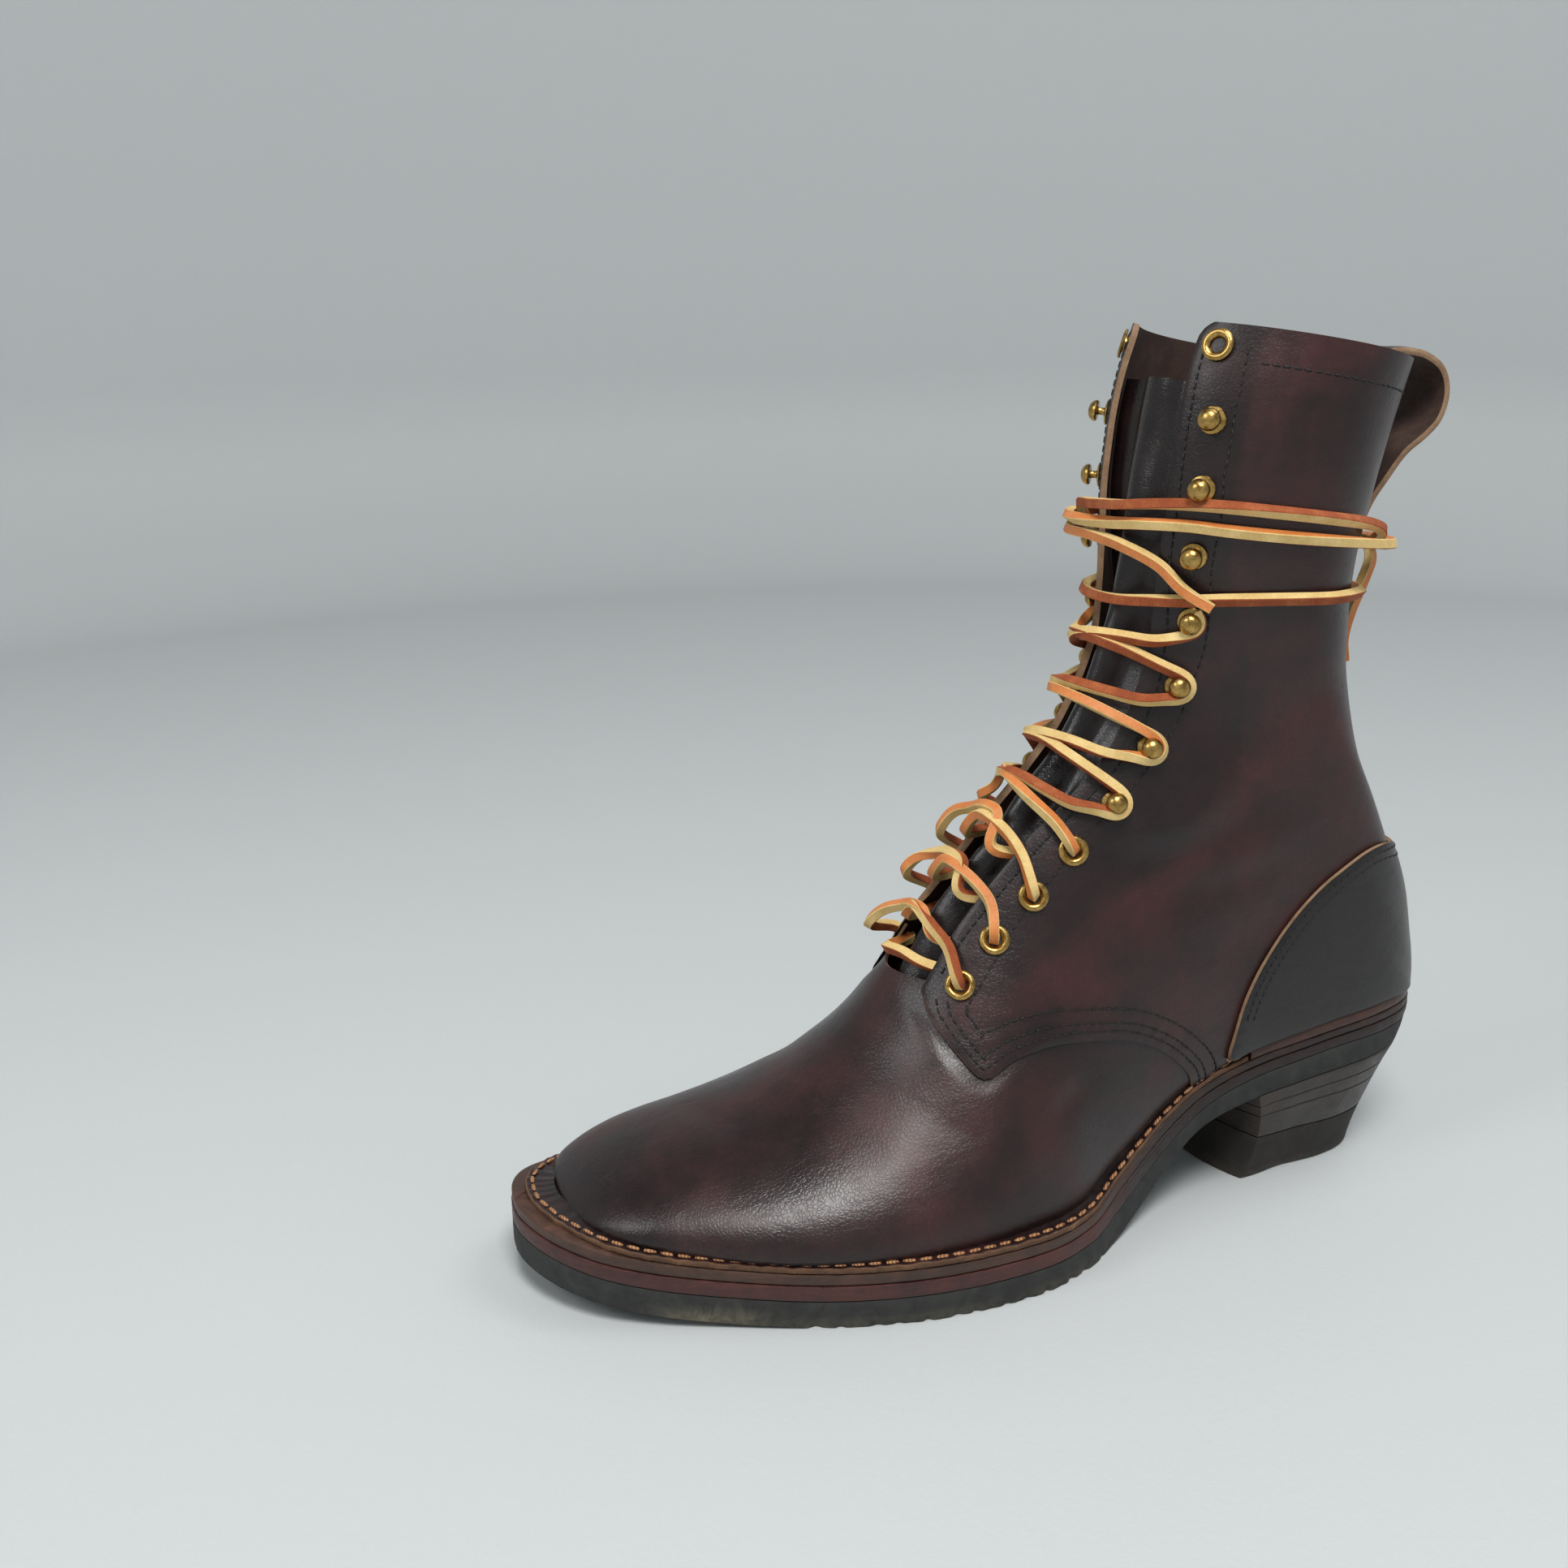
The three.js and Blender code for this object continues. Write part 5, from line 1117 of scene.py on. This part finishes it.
def build_counter(looks):
    """The heel's outer cover, a shell over the quarters with a cut edge."""
    points, faces = form_sheet(ALL_COLUMNS, 12, LAST_SECTION, COUNTER_WALL + 0.36)
    more, more_faces = back_patch(COUNTER_WALL + 0.36)
    points, faces = welded(np.concatenate([points, more]),
                           np.concatenate([faces, more_faces + len(points)]))
    side = signed_distance(COUNTER_OUTLINE, points[:, 1], points[:, 2])
    floor = points[:, 2] - seat_top(points[:, 1]) - RAND_HEIGHT - 0.1
    points, faces = clip(np.c_[points, side], faces, np.minimum(side, floor))
    near = np.clip(points[:, 7], 0, 99)
    rolled = 0.4 * np.exp(-near / 0.5)
    outer = points[:, :3] - points[:, 3:6] * rolled[:, None]
    p, f, kinds = thicken(outer, faces, points[:, 3:6], COUNTER_WALL - rolled)
    tone = -0.05 - 0.1 * np.exp(-near / 1.5) + 0.08 * np.exp(-((points[:, 1] - 30) / 12) ** 2)
    piece = mesh_piece("heel_counter", p, f, "counter flesh raw", kinds, tone)
    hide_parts("counter")
    return [piece]


def build_tongue(looks):
    """The tongue's soft roll between the facings, with folds where the foot bends."""
    turn = np.linspace(-0.267, 0.267, 73)
    number = np.linspace(9, 29, 241)
    open_rows = np.zeros(len(number), bool)
    grid = along_sections(section_rings(turn), number)
    z, x = grid[..., 2], grid[..., 0]
    fold = look(TONGUE_FOLDS, "dip", np.abs(x) / (FACING_GAP / 2))
    soft = (0.7 * np.sin(z / 7.5 + x / 14) * np.exp(-((x - 3) / 9) ** 2) * smooth(z, 100, 125)
            + 0.5 * np.sin(z / 4.1 - x / 8 + 1) * np.exp(-((z - 148) / 22) ** 2))
    depth = (wall_of(number)[:, None] + TONGUE_GAP + TONGUE_DIP * fold
             - np.minimum(soft, 0.9) * (np.abs(x) < 17))
    outer = grid - grid_normals(grid, open_rows) * depth[..., None]
    normal = grid_normals(outer, open_rows)
    faces = split(grid_faces(len(number), len(turn))[:, ::-1])
    p, f, kinds = thicken(outer.reshape(-1, 3), faces, normal.reshape(-1, 3), TONGUE)
    piece = mesh_piece("tongue_leather", p, f, "tongue flesh raw", kinds, 0.0)
    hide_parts("tongue")
    return [piece]


def strip_half(lift):
    """Half the width of the strip down the back, at a share of the boot's height."""
    return (STRAP_WIDTH + (BACKSTAY_WIDTH - STRAP_WIDTH) * smooth(lift, 0.75, 0.63)) / 2


def build_strap(looks):
    """The pull loop over the collar, going on as a strip down the back seam."""
    line = curve(np.stack([place(STRAP_PATH["back"]), STRAP_PATH["lift"] * BOOT_HEIGHT], 1), 90)
    run = unit(np.gradient(line, axis=0))
    out = np.stack([-run[:, 1], run[:, 0]], 1) * STRAP_THICK / 2
    across = np.array([-1, -0.97, -0.8, -0.4, 0, 0.4, 0.8, 0.97, 1])
    lifted = np.array([0.2, 0.8, 1, 1, 1, 1, 1, 0.8, 0.2])
    both = np.concatenate([across, across[::-1]])
    rings = []
    for p, o in zip(line, out):
        heights = np.concatenate([lifted, -lifted])[:, None]
        rings.append(np.c_[both * STRAP_WIDTH / 2, p + o * heights])
    for lift in np.linspace(0.755, 0.415, 110):
        h = 0.55 + np.concatenate([lifted, 1 - lifted]) * BACKSTAY_THICK
        rings.append(on_rear(both * strip_half(lift), np.full(18, lift * BOOT_HEIGHT), h)[0])
    points, faces = skin(np.array(rings))
    kinds = column_kinds(len(rings), np.array([2] + [0] * 6 + [2] * 3 + [1] * 6 + [2] * 2))
    piece = mesh_piece("pull_loop", points, faces, "strap flesh raw", kinds, 0.0)
    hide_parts("pull_strap")
    return [piece]


# Brass

def brass_spots():
    """Where each fastening sits on the form, and the way out of the leather there."""
    spots = {}
    for side in (1, -1):
        p, n = on_front(side * FASTENINGS["out"] * SHAFT_WIDTH / 2,
                        FASTENINGS["rise"] * BOOT_HEIGHT)
        spots.update({(side, k + 1): (p[k], n[k]) for k in range(len(p))})
    return spots


SPOTS = brass_spots()


def axes_at(side, number):
    """A fastening's place, the way out of the leather, the way off the throat and the way up."""
    p, n = SPOTS[side, number]
    off = unit(np.array([side, 0.0, 0.0]) - n * n[0] * side)
    return p, n, off, np.cross(n, off) * side


def lathe(profile, count=24):
    """Rings of (radius, height) turned about an axis."""
    a = np.arange(count) * 2 * math.pi / count
    r, h = np.array(profile).T[..., None]
    return np.stack([r * np.cos(a), r * np.sin(a), np.broadcast_to(h, (len(r), count))], -1)


def build_brass(looks):
    """Rolled eyelets in the lower and top holes, and capped lace hooks between."""
    bore, rim = EYELET_HOLE / 2 - FIT, EYELET_WIDTH / 2
    base, ball = HOOK_BASE / 2, HOOK_BALL / 2
    profiles = {
        "eyelet": ((bore - 0.6, -2.1), (bore, -2.1), (bore, 0.3), (rim - 0.5, 0.1),
                   (rim - 0.1, 0.25), (rim, 0.55), (rim - 0.35, 1.0), (rim - 1.0, 1.25),
                   (rim - 1.7, 1.1), (bore - 0.35, 0.5), (bore - 0.6, -0.2)),
        "hook": ((0.01, -0.1), (base - 0.3, -0.1), (base, 0.15), (base - 0.25, 0.6),
                 (base - 1.4, 0.95), (1.5, 1.15), (1.25, 1.6), (1.25, 3.0), (1.5, 3.5),
                 (ball - 0.35, 3.6), (ball, 4.1), (ball - 0.05, 4.7), (ball - 0.55, 5.6),
                 (ball - 1.5, 6.4), (1.0, 6.75), (0.01, 6.85)),
    }
    made = []
    for side, number in SPOTS:
        kind = "eyelet" if number in (1, 2, 3, 4, 12) else "hook"
        shape = lathe(profiles[kind])
        p, n, off, up = axes_at(side, number)
        world = (p + n * SEATING + shape[..., :1] * off + shape[..., 1:2] * up
                 + shape[..., 2:] * n)
        points, faces = skin(world, closed=kind == "eyelet")
        cad = f"{kind}_{'outer' if side > 0 else 'inner'}_{number}"
        piece = mesh_piece("brass_" + cad, points, faces, "brass", sharp=0.6)
        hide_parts(cad)
        made.append(piece)
    return made


# Seams

def stitches(name, rows, material, thick):
    """One mesh of sewn stitches: a row is (points, normals, pitch), a stitch is a low capsule."""
    a = np.arange(6) * math.pi / 3
    rings = np.array([(-0.5, 0.15), (-0.4, 0.8), (0, 1.0), (0.4, 0.8), (0.5, 0.15)])
    caps = [[0, k + 1, k] for k in range(1, 5)] + [[24, 24 + k, 25 + k] for k in range(1, 5)]
    local = np.concatenate([split(grid_faces(5, 6, False, True)), np.array(caps)])
    parts, shapes, total = [], [], 0
    for line, normal, pitch in rows:
        count = max(2, int(length_of(line) / pitch))
        run = np.concatenate([[0], np.cumsum(np.linalg.norm(np.diff(line, axis=0), axis=1))])
        at = (np.arange(count) + 0.5) / count * run[-1]
        mid, n, t = (np.stack([np.interp(at, run, c) for c in values.T], 1)
                     for values in (line, normal, np.gradient(line, axis=0)))
        n, t = unit(n), unit(t)
        s = np.cross(t, n)
        turn = 0.06 * np.sin(np.arange(count) * 2.3)[:, None]
        t, s = unit(t + s * turn), unit(s - t * turn)
        n, t, s, mid = (v[:, None, None] for v in (n, t, s, mid))
        around = s * np.cos(a)[:, None] + n * np.sin(a)[:, None] * 0.7
        grid = (mid + t * (rings[None, :, None, :1] * pitch * 0.78)
                + around * rings[None, :, None, 1:] * thick / 2)
        parts.append(grid.reshape(-1, 3))
        shapes.append((local + (np.arange(count) * 30)[:, None, None]).reshape(-1, 3) + total)
        total += count * 30
    points, faces = np.concatenate(parts), np.concatenate(shapes)
    return mesh_piece(name, points, faces[:, ::-1], material, sharp=0)


def stepped_in(line, outline, step):
    """A line of the side view moved by a step to the side that lies inside an outline."""
    run = unit(np.gradient(line, axis=0))
    out = np.stack([-run[:, 1], run[:, 0]], 1) * step
    moved = line + out
    inside = signed_distance(outline, moved[:, 0], moved[:, 1]) > 0
    return moved if inside.mean() >= 0.5 else line - out


def build_seams(looks):
    """Rows of thread along facings, quarters, collar, counter, strap and welt."""
    dark = []
    for side in (1, -1):
        z = np.linspace(97, 299, 160)
        dark.append((*on_front(side * (throat_half(z) + FACING_ROW), z, 0.1), 3.1))
        dark.append((*beside_facing(side, np.linspace(88, 296, 150), 17.5), 3.1))
        for step in QUARTER_ROWS:
            line = stepped_in(QUARTER_LINE[26:], QUARTER_OUTLINE, step)
            p, n = on_side(line[:, 0], line[:, 1], side, 0.1)
            inside = signed_distance(QUARTER_OUTLINE, line[:, 0], line[:, 1])
            keep = (np.abs(p[:, 0]) > 15) & (np.abs(inside - step) < 0.8)
            dark.append((p[keep], n[keep], 2.9))
        y = np.linspace(-50, 12, 60)
        dark.append((*on_side(y, collar_height(y) - 11.0, side, 0.1), 3.2))
        for step in (2.6, 5.4):
            line = stepped_in(COUNTER_LINE, COUNTER_OUTLINE, step)
            line = line[(line[:, 0] < 38) & (line[:, 1] > 68)]
            dark.append((*on_side(line[:, 0], line[:, 1], side, COUNTER_WALL + 0.42), 2.9))
        lift = np.linspace(0.74, 0.42, 80)
        dark.append((*on_rear(side * (strip_half(lift) - 2.2), lift * BOOT_HEIGHT,
                              0.6 + BACKSTAY_THICK), 3.0))
    seam = stitches("dark_stitches", dark, "dark_thread", 0.75)
    inner, outer = inset("inset", 1.6), inset("rim")
    q = (inner + (outer - inner) * 0.74)[SOLE_EDGE[:, 1] < -RAND_FRONT - 1]
    line = np.c_[q, seat_top(q[:, 1]) + 2.25]
    upwards = np.tile([[0.0, 0.0, 1.0]], (len(line), 1))
    welt = stitches("welt_stitches", [(line, upwards, 5.4)], "tan_thread", 1.5)
    return [seam, welt]


def collar_height(y):
    """Height of the collar's edge over a place in the side view."""
    top = FORM[-1]
    order = np.argsort(top[:, 1])
    return np.interp(y, top[order, 1], top[order, 2])


def beside_facing(side, z, reach):
    """The line on the shaft that runs a fixed reach round from the facing's edge."""
    half = HALVES[side]
    picked = []
    for h in z:
        x0 = side * throat_half(np.array([h]))[0]
        rows = np.argmin(np.abs(FORM[:, half, 2] - h) + 1e3 * (NUMBER[:, None] < 8), axis=0)
        ring, normals = FORM[rows, half], NORMAL[rows, half]
        order = np.argsort(ring[:, 1])
        order = order[(np.abs(ring[order, 0]) >= abs(x0)) & (ring[order, 1] < -20)]
        gap = np.hypot(ring[order, 0] - x0, ring[order, 1] - ring[order[0], 1])
        best = order[np.argmin(np.abs(gap - reach))]
        picked.append([ring[best, 0], ring[best, 1], h] + normals[best] * 0.1)
    soft = [np.convolve(np.pad(c, 4, "edge"), np.ones(9) / 9, "valid") for c in zip(*picked)]
    return on_side(soft[1], soft[2], side, 0.1)


# The lace

def framed(line, start, twist):
    """Side and up vectors carried along a line without turning, then twisted at each point."""
    t = unit(np.gradient(line, axis=0))
    up = np.asarray(start, float)
    ups = []
    for v in t:
        up = unit(up - v * np.dot(up, v))
        ups.append(up)
    ups = np.array(ups)
    side = np.cross(t, ups)
    c, s = np.cos(twist)[:, None], np.sin(twist)[:, None]
    return side * c + ups * s, ups * c - side * s


def lace_skin(line, start, twist, width):
    """A square-cut lace swept along a line: points, faces and a kind for each of its looks."""
    side, up = framed(line, start, twist)
    a = 0.84  # where the rounding of the corners starts
    shape = np.array([(-a, 1), (0, 1), (a, 1), (1, a), (1, 0), (1, -a), (a, -1), (0, -1), (-a, -1),
                      (-1, -a), (-1, 0), (-1, a)]) * width / 2
    rings = line[:, None] + side[:, None] * shape[:, :1] + up[:, None] * shape[:, 1:]
    kinds = column_kinds(len(line), np.array([0, 0, 1, 1, 1, 2, 2, 2, 2, 1, 1, 1]))
    return *skin(rings), kinds


def through(side, number):
    """Points that take the lace up through an eyelet."""
    p, n = SPOTS[side, number]
    return [p + n * lift for lift in (-5.0, -1.0, 3.4)]


def wrap(side, number, high=105):
    """Points round a hook's neck, from below it round its far side to above."""
    p, n, off, up = axes_at(side, number)
    return [p + n * (SEATING + 3.0) + 4.3 * (math.cos(a) * off + math.sin(a) * up)
            for a in np.radians(np.linspace(-105, high, 7))]


def over(*points, lift=2.3):
    """A free run of the lace through the given points, kept at least a lift off the leather."""
    p = curve(points, 5 * len(points))
    base, n = on_front(p[:, 0], p[:, 2])
    height = np.einsum("ij,ij->i", p - base, n)
    return list(p + n * np.clip(lift - height, 0, None)[:, None])


def dive(side, z, way=1):
    """Points that take the lace from over the throat's middle to below a facing, or back."""
    run = []
    for x, lift in ((9, 0.2), (15, -3.0), (21, -4.8)):
        p, n = on_front(np.array([side * x]), np.array([z]))
        run.append((p + n * lift)[0])
    return run[::way]


def eased(line, passes):
    """A line with its small kinks smoothed out, its ends kept."""
    for _ in range(passes):
        line[1:-1] = line[1:-1] / 2 + (line[:-2] + line[2:]) / 4
    return line


def lace_routes():
    """The two strands from the bottom bar to the last laced hooks, in millimetres."""
    strand_x = (
        through(1, 1) + over((17, -142.5, 106), (8, -143.6, 110), (-1, -142.6, 113.2))
        + dive(-1, 108) + through(-1, 2)
        + over((-22, -141.5, 119.2), (-18, -137.8, 125.4), (-7, -132.6, 129), (5, -128.4, 128.6))
        + dive(1, 121) + through(1, 3)
        + over((17, -116, 133.5), (8, -115.5, 137.5), (-1, -117.4, 139.5))
        + dive(-1, 135) + through(-1, 4)
        + over((-23, -111.7, 143.6), (-14, -104.7, 148), (0, -97.5, 144.6), (12, -92, 142.6))
        + wrap(1, 5) + over((10, -88.5, 157.5), (-8, -90.5, 160))
        + wrap(-1, 6) + over((-12, -81.1, 179.5), (2, -74.8, 178.4), (14, -69.5, 179.6))
        + wrap(1, 7) + over((10, -73.5, 197.4), (-8, -76.2, 199.6))
        + wrap(-1, 8, 60))
    strand_y = (
        through(-1, 1)
        + over((-22, -155.4, 101.5), (-18, -151.6, 107.6), (-8, -146.4, 112.2), (4, -142.2, 113))
        + dive(1, 107) + through(1, 2)
        + over((18, -127.6, 119), (9, -128.6, 123.5), (0, -129.8, 126))
        + dive(-1, 121) + through(-1, 3)
        + over((-23, -127.7, 131.8), (-18, -124, 140.4), (-7, -119.4, 143.4), (5, -115.1, 142.8))
        + dive(1, 135) + through(1, 4)
        + over((16, -102.6, 141.6), (5, -103.8, 145.6), (-8, -102.5, 150.5))
        + wrap(-1, 5) + over((-12, -92, 162.5), (0, -87.3, 159.4), (12, -80.5, 159.8))
        + wrap(1, 6) + over((10, -79.5, 175.6), (-8, -83, 178.5))
        + wrap(-1, 7) + over((-10, -79.8, 197.6), (2, -73.6, 199.4), (14, -67, 200.4))
        + wrap(1, 8, 60))
    return strand_x, strand_y


def build_lace(looks):
    """One lace: a bar under the lowest eyelets, two crossing strands and the two free ends."""
    finishes = "lace_face lace_edge lace_flesh"
    thick = looks.lace_width * 1000
    strand_x, strand_y = lace_routes()
    bar = dive(-1, 98, -1) + over((-5, -155.9, 99.7), (5, -152.2, 100.3), lift=0.6) + dive(1, 99)
    parts, total = [], 0
    for route, start, phase in ((strand_x, (0, -0.6, -0.8), 0.3),
                                (strand_y, (0, -0.6, -0.8), 1.4), (bar, (0, -0.7, 0.7), 0.2)):
        line = eased(curve(route, max(24, int(length_of(np.array(route)) / 1.25))), 10)
        run = np.linspace(0, length_of(line), len(line))
        twist = phase + 0.9 * np.sin(run / 31 + phase) + 0.5 * np.sin(run / 13.7 + 2 * phase)
        points, faces, kinds = lace_skin(line, start, twist, thick)
        parts.append((points, faces + total, kinds))
        total += len(points)
    points, faces, kinds = (np.concatenate(v) for v in zip(*parts))
    laced = mesh_piece("lace_crossings", points, faces, finishes, kinds,
                       sharp=0.6)
    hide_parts(*[f"lace_cross_{k}" for k in range(8)])
    made = [laced]
    for name, route, start, phase in (("lace_end_outer", OUTER_END, (0, -0.5, 0.85), 0.4),
                                      ("lace_end_inner", INNER_END, (0, -0.4, 0.9), 1.1)):
        line = curve(route, int(length_of(np.array(route)) / 1.3))
        run = np.linspace(0, length_of(line), len(line))
        twist = phase + 0.8 * np.sin(run / 58 + phase) + 0.35 * np.sin(run / 21 + phase)
        points, faces, kinds = lace_skin(line, start, twist, thick)
        end = mesh_piece("free_" + name, points, faces, finishes, kinds,
                         sharp=0.6)
        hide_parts(name)
        made.append(end)
    return made


# Floor, light and camera

def painted(name, code, roughness):
    """Matt paint with a faint roller texture."""
    material, tree, surface, at = blank(name, Base_Color=(*linear(code), 1), Roughness=roughness)
    plug(tree, surface, Normal=bumps(tree, ((noise(tree, at, 2.5, 3.0, 0.6), 0.12),)))
    return material


def posed(right, up, back, at):
    """The matrix of a lamp or camera from its axes and its place in metres."""
    return Matrix([[right[k], up[k], back[k], at[k]] for k in range(3)] + [[0, 0, 0, 1]])


def build_stage(looks):
    """A pale round floor that turns up into a wall on every side, with large soft lights."""
    count = 96
    a = np.arange(count) * 2 * math.pi / count
    bend = [(1350 + 250 * math.sin(t), 250 - 250 * math.cos(t))
            for t in np.linspace(0, math.pi / 2, 14)]
    r, z = np.array([(0.01, 0), (200, 0), (500, 0), (900, 0), *bend, (1600, 900),
                     (1600, 2600)]).T[..., None]
    grid = np.stack([r * np.cos(a), r * np.sin(a), np.broadcast_to(z, (len(r), count))], -1)
    faces = split(grid_faces(len(r), count, False, True))[:, ::-1]
    mesh = bpy.data.meshes.new("room")
    mesh.from_pydata((grid.reshape(-1, 3) / 1000).tolist(), [], faces.tolist())
    mesh.polygons.foreach_set("use_smooth", np.ones(len(mesh.polygons), bool))
    mesh.materials.append(painted("pale_painted_board", "babebf", 0.55))
    room = bpy.data.objects.new("room", mesh)
    scene = bpy.context.scene
    scene.collection.objects.link(room)
    for name, at, aim, size, power, tone in (
            ("key_light", (0.75, -0.35, 1.55), (0, -0.1, 0.1), 0.6, 24.0, (1.0, 0.985, 0.965)),
            ("wall_light", (0.1, 1.0, 1.9), (0.0, 0.0, 0.1), 1.0, 11.0, (0.99, 0.99, 1.0)),
            ("fill_light", (0.15, -1.3, 1.05), (0, -0.15, 0.1), 0.5, 5.0, (0.98, 0.99, 1.0))):
        data = bpy.data.lights.new(name, "AREA")
        data.shape, data.size, data.energy, data.color = "SQUARE", size, power, tone
        lamp = bpy.data.objects.new(name, data)
        scene.collection.objects.link(lamp)
        back = unit(np.array(at, float) - np.array(aim, float))
        side = unit(np.cross([0, 0, 1.0], back))
        lamp.matrix_world = posed(side, np.cross(back, side), back, at)
    world = bpy.data.worlds.new("soft_room_light")
    world.use_nodes = True
    background = world.node_tree.nodes["Background"]
    background.inputs["Color"].default_value = (0.86, 0.88, 0.9, 1)
    background.inputs["Strength"].default_value = 0.36
    scene.world = world
    scene.view_settings.view_transform = "Standard"
    azimuth, pitch, roll = (math.radians(v) for v in CAMERA_TURNS)
    back = np.array([math.sin(azimuth) * math.cos(pitch), -math.cos(azimuth) * math.cos(pitch),
                     math.sin(pitch)])
    right = unit(np.cross(-back, [0, 0, 1.0]))
    up = np.cross(right, -back)
    data = bpy.data.cameras.new("photo_camera")
    data.sensor_fit, data.sensor_width, data.lens = "HORIZONTAL", 36.0, CAMERA_LENS
    camera = bpy.data.objects.new("photo_camera", data)
    scene.collection.objects.link(camera)
    camera.matrix_world = posed(math.cos(roll) * right + math.sin(roll) * up,
                                -math.sin(roll) * right + math.cos(roll) * up, back, CAMERA_PLACE)
    scene.camera = camera
    return [room]


# The add-on: what a user would change, an operator for each piece and a panel

class BootLooks(bpy.types.PropertyGroup):
    """Colours and sizes that a user would change."""

    leather: FloatVectorProperty(
        name="Leather", description="Tints the oiled leather", subtype="COLOR",
        size=3, min=0, max=1, default=linear("47211f"))
    sole_edge: FloatVectorProperty(
        name="Sole edge", description="Tints the slip sole's waxed edge", subtype="COLOR",
        size=3, min=0, max=1, default=linear("5f302a"))
    lace: FloatVectorProperty(
        name="Lace", description="Tints the lace's grain face", subtype="COLOR",
        size=3, min=0, max=1, default=linear("d98a52"))
    lace_width: FloatProperty(
        name="Lace width", description="Side of the square lace", subtype="DISTANCE",
        unit="LENGTH", min=0.002, max=0.004, default=LACE / 1000)


class BootOperator:
    """What the operators share: each builds one group of pieces."""

    bl_options = {"REGISTER", "UNDO"}

    def execute(self, context):
        if not self.build(context.scene.boot_looks):
            raise RuntimeError("nothing was built by " + self.bl_idname)
        return {"FINISHED"}


class BOOT_OT_upper(BootOperator, bpy.types.Operator):
    """Build the vamp, the quarters and the turned-out flange"""

    bl_idname = "boot.upper"
    bl_label = "Upper"
    build = staticmethod(build_upper)


class BOOT_OT_sole(BootOperator, bpy.types.Operator):
    """Build the insole, midsole, slip sole and outsole"""

    bl_idname = "boot.sole"
    bl_label = "Sole"
    build = staticmethod(build_sole)


class BOOT_OT_heel(BootOperator, bpy.types.Operator):
    """Build the stacked heel, its top lift and the rand"""

    bl_idname = "boot.heel"
    bl_label = "Heel"
    build = staticmethod(build_heel)


class BOOT_OT_counter(BootOperator, bpy.types.Operator):
    """Build the heel counter"""

    bl_idname = "boot.counter"
    bl_label = "Counter"
    build = staticmethod(build_counter)


class BOOT_OT_tongue(BootOperator, bpy.types.Operator):
    """Build the tongue"""

    bl_idname = "boot.tongue"
    bl_label = "Tongue"
    build = staticmethod(build_tongue)


class BOOT_OT_strap(BootOperator, bpy.types.Operator):
    """Build the pull loop and the strip down the back"""

    bl_idname = "boot.strap"
    bl_label = "Pull strap"
    build = staticmethod(build_strap)


class BOOT_OT_brass(BootOperator, bpy.types.Operator):
    """Build the eyelets and lace hooks"""

    bl_idname = "boot.brass"
    bl_label = "Eyelets and hooks"
    build = staticmethod(build_brass)


class BOOT_OT_seams(BootOperator, bpy.types.Operator):
    """Build the rows of stitches"""

    bl_idname = "boot.seams"
    bl_label = "Stitches"
    build = staticmethod(build_seams)


class BOOT_OT_lace(BootOperator, bpy.types.Operator):
    """Build the lace with its crossings and two free ends"""

    bl_idname = "boot.lace"
    bl_label = "Lace"
    build = staticmethod(build_lace)


class BOOT_OT_stage(BootOperator, bpy.types.Operator):
    """Build the floor, lights and camera"""

    bl_idname = "boot.stage"
    bl_label = "Stage"
    build = staticmethod(build_stage)


OPERATORS = (BOOT_OT_upper, BOOT_OT_sole, BOOT_OT_heel, BOOT_OT_counter, BOOT_OT_tongue,
             BOOT_OT_strap, BOOT_OT_brass, BOOT_OT_seams, BOOT_OT_lace, BOOT_OT_stage)


class BOOT_PT_panel(bpy.types.Panel):
    """The boot's sizes, colours and pieces in the sidebar"""

    bl_idname = "BOOT_PT_panel"
    bl_label = "Packer boot"
    bl_space_type = "VIEW_3D"
    bl_region_type = "UI"
    bl_category = "Boot"

    def draw(self, context):
        for name in BootLooks.__annotations__:
            self.layout.prop(context.scene.boot_looks, name)
        for operator in OPERATORS:
            self.layout.operator(operator.bl_idname)


def register():
    for kind in (BootLooks, *OPERATORS, BOOT_PT_panel):
        bpy.utils.register_class(kind)
    bpy.types.Scene.boot_looks = PointerProperty(type=BootLooks)


def unregister():
    del bpy.types.Scene.boot_looks
    for kind in (BOOT_PT_panel, *reversed(OPERATORS), BootLooks):
        bpy.utils.unregister_class(kind)


def main():
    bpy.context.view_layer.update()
    register()
    for operator in OPERATORS:
        group, name = operator.bl_idname.split(".")
        getattr(getattr(bpy.ops, group), name)()


if __name__ == "__main__":
    main()
